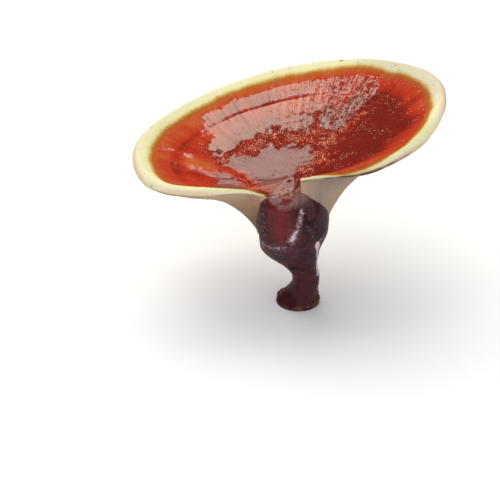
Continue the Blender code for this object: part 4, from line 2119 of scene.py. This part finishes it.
@dataclass
class Studio:
    """Pale floor, soft light and the camera at the photograph's viewing angle."""

    camera_place: tuple[float, float, float] = (-0.0231112, -0.58198333, 0.33684516)
    camera_pitch: float = 28.0
    lens: float = 100.0
    sensor_width: float = 36.0
    nearest: float = 0.01
    floor_half: float = 6.0
    floor_fade: Span = Span(0.45, 1.6)
    floor_colour: Colour = (0.88, 0.90, 0.96)
    mottle: Cloud = Cloud(6.0, 3.0)
    mottle_tone: float = 0.97
    floor_roughness: float = 0.9
    floor_specular: float = 0.1
    ambient: float = 0.42
    mirrored: float = 0.10
    lights: tuple[SoftLight, ...] = (
        SoftLight("top_box", -28.0, 75.0, 2.2, 2.2, 1.50, 2.8, colour=(1.0, 0.95, 0.76)),
        SoftLight("back_box", -28.0, 43.0, 2.2, 2.2, 1.22, 1.7, colour=(1.0, 0.95, 0.85)),
        SoftLight("front_fill", -150.0, 60.0, 2.6, 2.6, 2.0, 1.3, colour=(0.98, 0.99, 1.0)),
        SoftLight("front_low", 150.0, 24.0, 2.4, 2.2, 1.2, 1.15, colour=(1.0, 0.98, 0.94)),
    )

    def build(self) -> None:
        """Makes the camera, the lights, the floor and the pale surroundings."""
        scene = bpy.context.scene
        camera = bpy.data.objects.new("camera", bpy.data.cameras.new("camera"))
        camera.location = self.camera_place
        camera.rotation_euler = (math.radians(90.0 - self.camera_pitch), 0.0, 0.0)
        camera.data.lens = self.lens
        camera.data.sensor_width = self.sensor_width
        camera.data.clip_start = self.nearest
        scene.collection.objects.link(camera)
        scene.camera = camera
        for light in self.lights:
            light.place()
        self.floor()
        scene.world = self.surroundings()

    def surroundings(self) -> bpy.types.World:
        """A white backdrop that gives a soft ambient light and stays dim in the lacquer.

        Returns:
            The world.
        """
        world = bpy.data.worlds.new("surroundings")
        world.use_nodes = True
        tree = Tree(world.node_tree)
        rays = tree.add("LightPath")
        ambient, mirrored = (self.ambient,) * 3, (self.mirrored,) * 3
        unseen = tree.mix(tree.read(rays, "Is Glossy Ray"), ambient, mirrored)
        seen = tree.mix(tree.read(rays, "Is Camera Ray"), unseen, (1.0, 1.0, 1.0))
        tree.feed(world.node_tree.nodes["Background"].inputs["Color"], seen)
        return world

    def floor(self) -> bpy.types.Object:
        """A wide pale floor with a faint mottle, which glows into the white backdrop far away.

        Returns:
            The floor.
        """
        corners = np.array([[-1, -1, 0], [1, -1, 0], [1, 1, 0], [-1, 1, 0]]) * self.floor_half
        mesh = mesh_from("floor", corners, [np.array([[0, 1, 2, 3]])])
        item = bpy.data.objects.new("floor", mesh)
        bpy.context.scene.collection.objects.link(item)
        material, tree, shader, place = new_material("floor")
        darker = tuple(self.mottle_tone * channel for channel in self.floor_colour)
        colour = tree.mix(tree.noise(place, self.mottle), self.floor_colour, darker)
        far = tree.span(tree.distance(place, np.zeros(3)), self.floor_fade)
        black, white = (0.0, 0.0, 0.0), (1.0, 1.0, 1.0)
        for socket, value in {
            "Base Color": tree.mix(far, colour, black),
            "Emission Color": tree.mix(far, black, white),
            "Emission Strength": 1.0,
            "Roughness": self.floor_roughness,
            "Specular IOR Level": self.floor_specular,
        }.items():
            tree.feed(shader.inputs[socket], value)
        mesh.materials.append(material)
        return item


CREASE = ClosedCurve((
    (10, 16.8, 50.8), (30, 16.4, 45.6), (60, 16.0, 41.4), (90, 16.0, 39.4), (120, 16.4, 39.4),
    (160, 16.8, 42.2), (180, 17.0, 46.6), (196, 17.3, 52.4), (208, 18.2, 58.2), (216, 19.2, 62.0),
    (223, 20.6, 65.6), (229, 21.0, 68.2), (236, 20.0, 69.8), (246, 18.0, 70.4), (258, 16.2, 70.4),
    (272, 14.4, 70.6), (286, 13.5, 70.3), (304, 15.6, 67.0), (321, 16.1, 63.2), (346, 16.4, 56.4),
))


def main() -> None:
    """Builds the mushroom's skin, dresses its pieces and sets the studio round them."""
    logging.basicConfig(level=logging.INFO, format="%(name)s: %(message)s")
    skin = Skin(StemForm(CREASE), CapForm(CREASE))
    for node in Node:
        piece = SkinPiece(node, skin).build()
        piece.data.materials.append(SkinFinish(node.value).material())
        log.info("%s: %d faces", piece.name, len(piece.data.polygons))
    # The grains' pale gold tone is a painted glint on real grains.
    spores_and_glints = GrainFinish("spores_and_glints", dark=(0.58, 0.17, 0.08), light=(0.98, 0.72, 0.50), roughness=0.35)
    soil = GrainFinish("soil", dark=(0.075, 0.030, 0.018), light=(0.26, 0.115, 0.070), roughness=0.9)
    for scatter, finish in ((SporeGlintGrains(skin), spores_and_glints), (SoilCrumbs(skin), soil)):
        piece = scatter.build()
        piece.data.materials.append(finish.material())
        log.info("%s: %d faces", piece.name, len(piece.data.polygons))
    Studio().build()
    bpy.context.scene.view_settings.view_transform = "Standard"


if __name__ == "__main__":
    main()
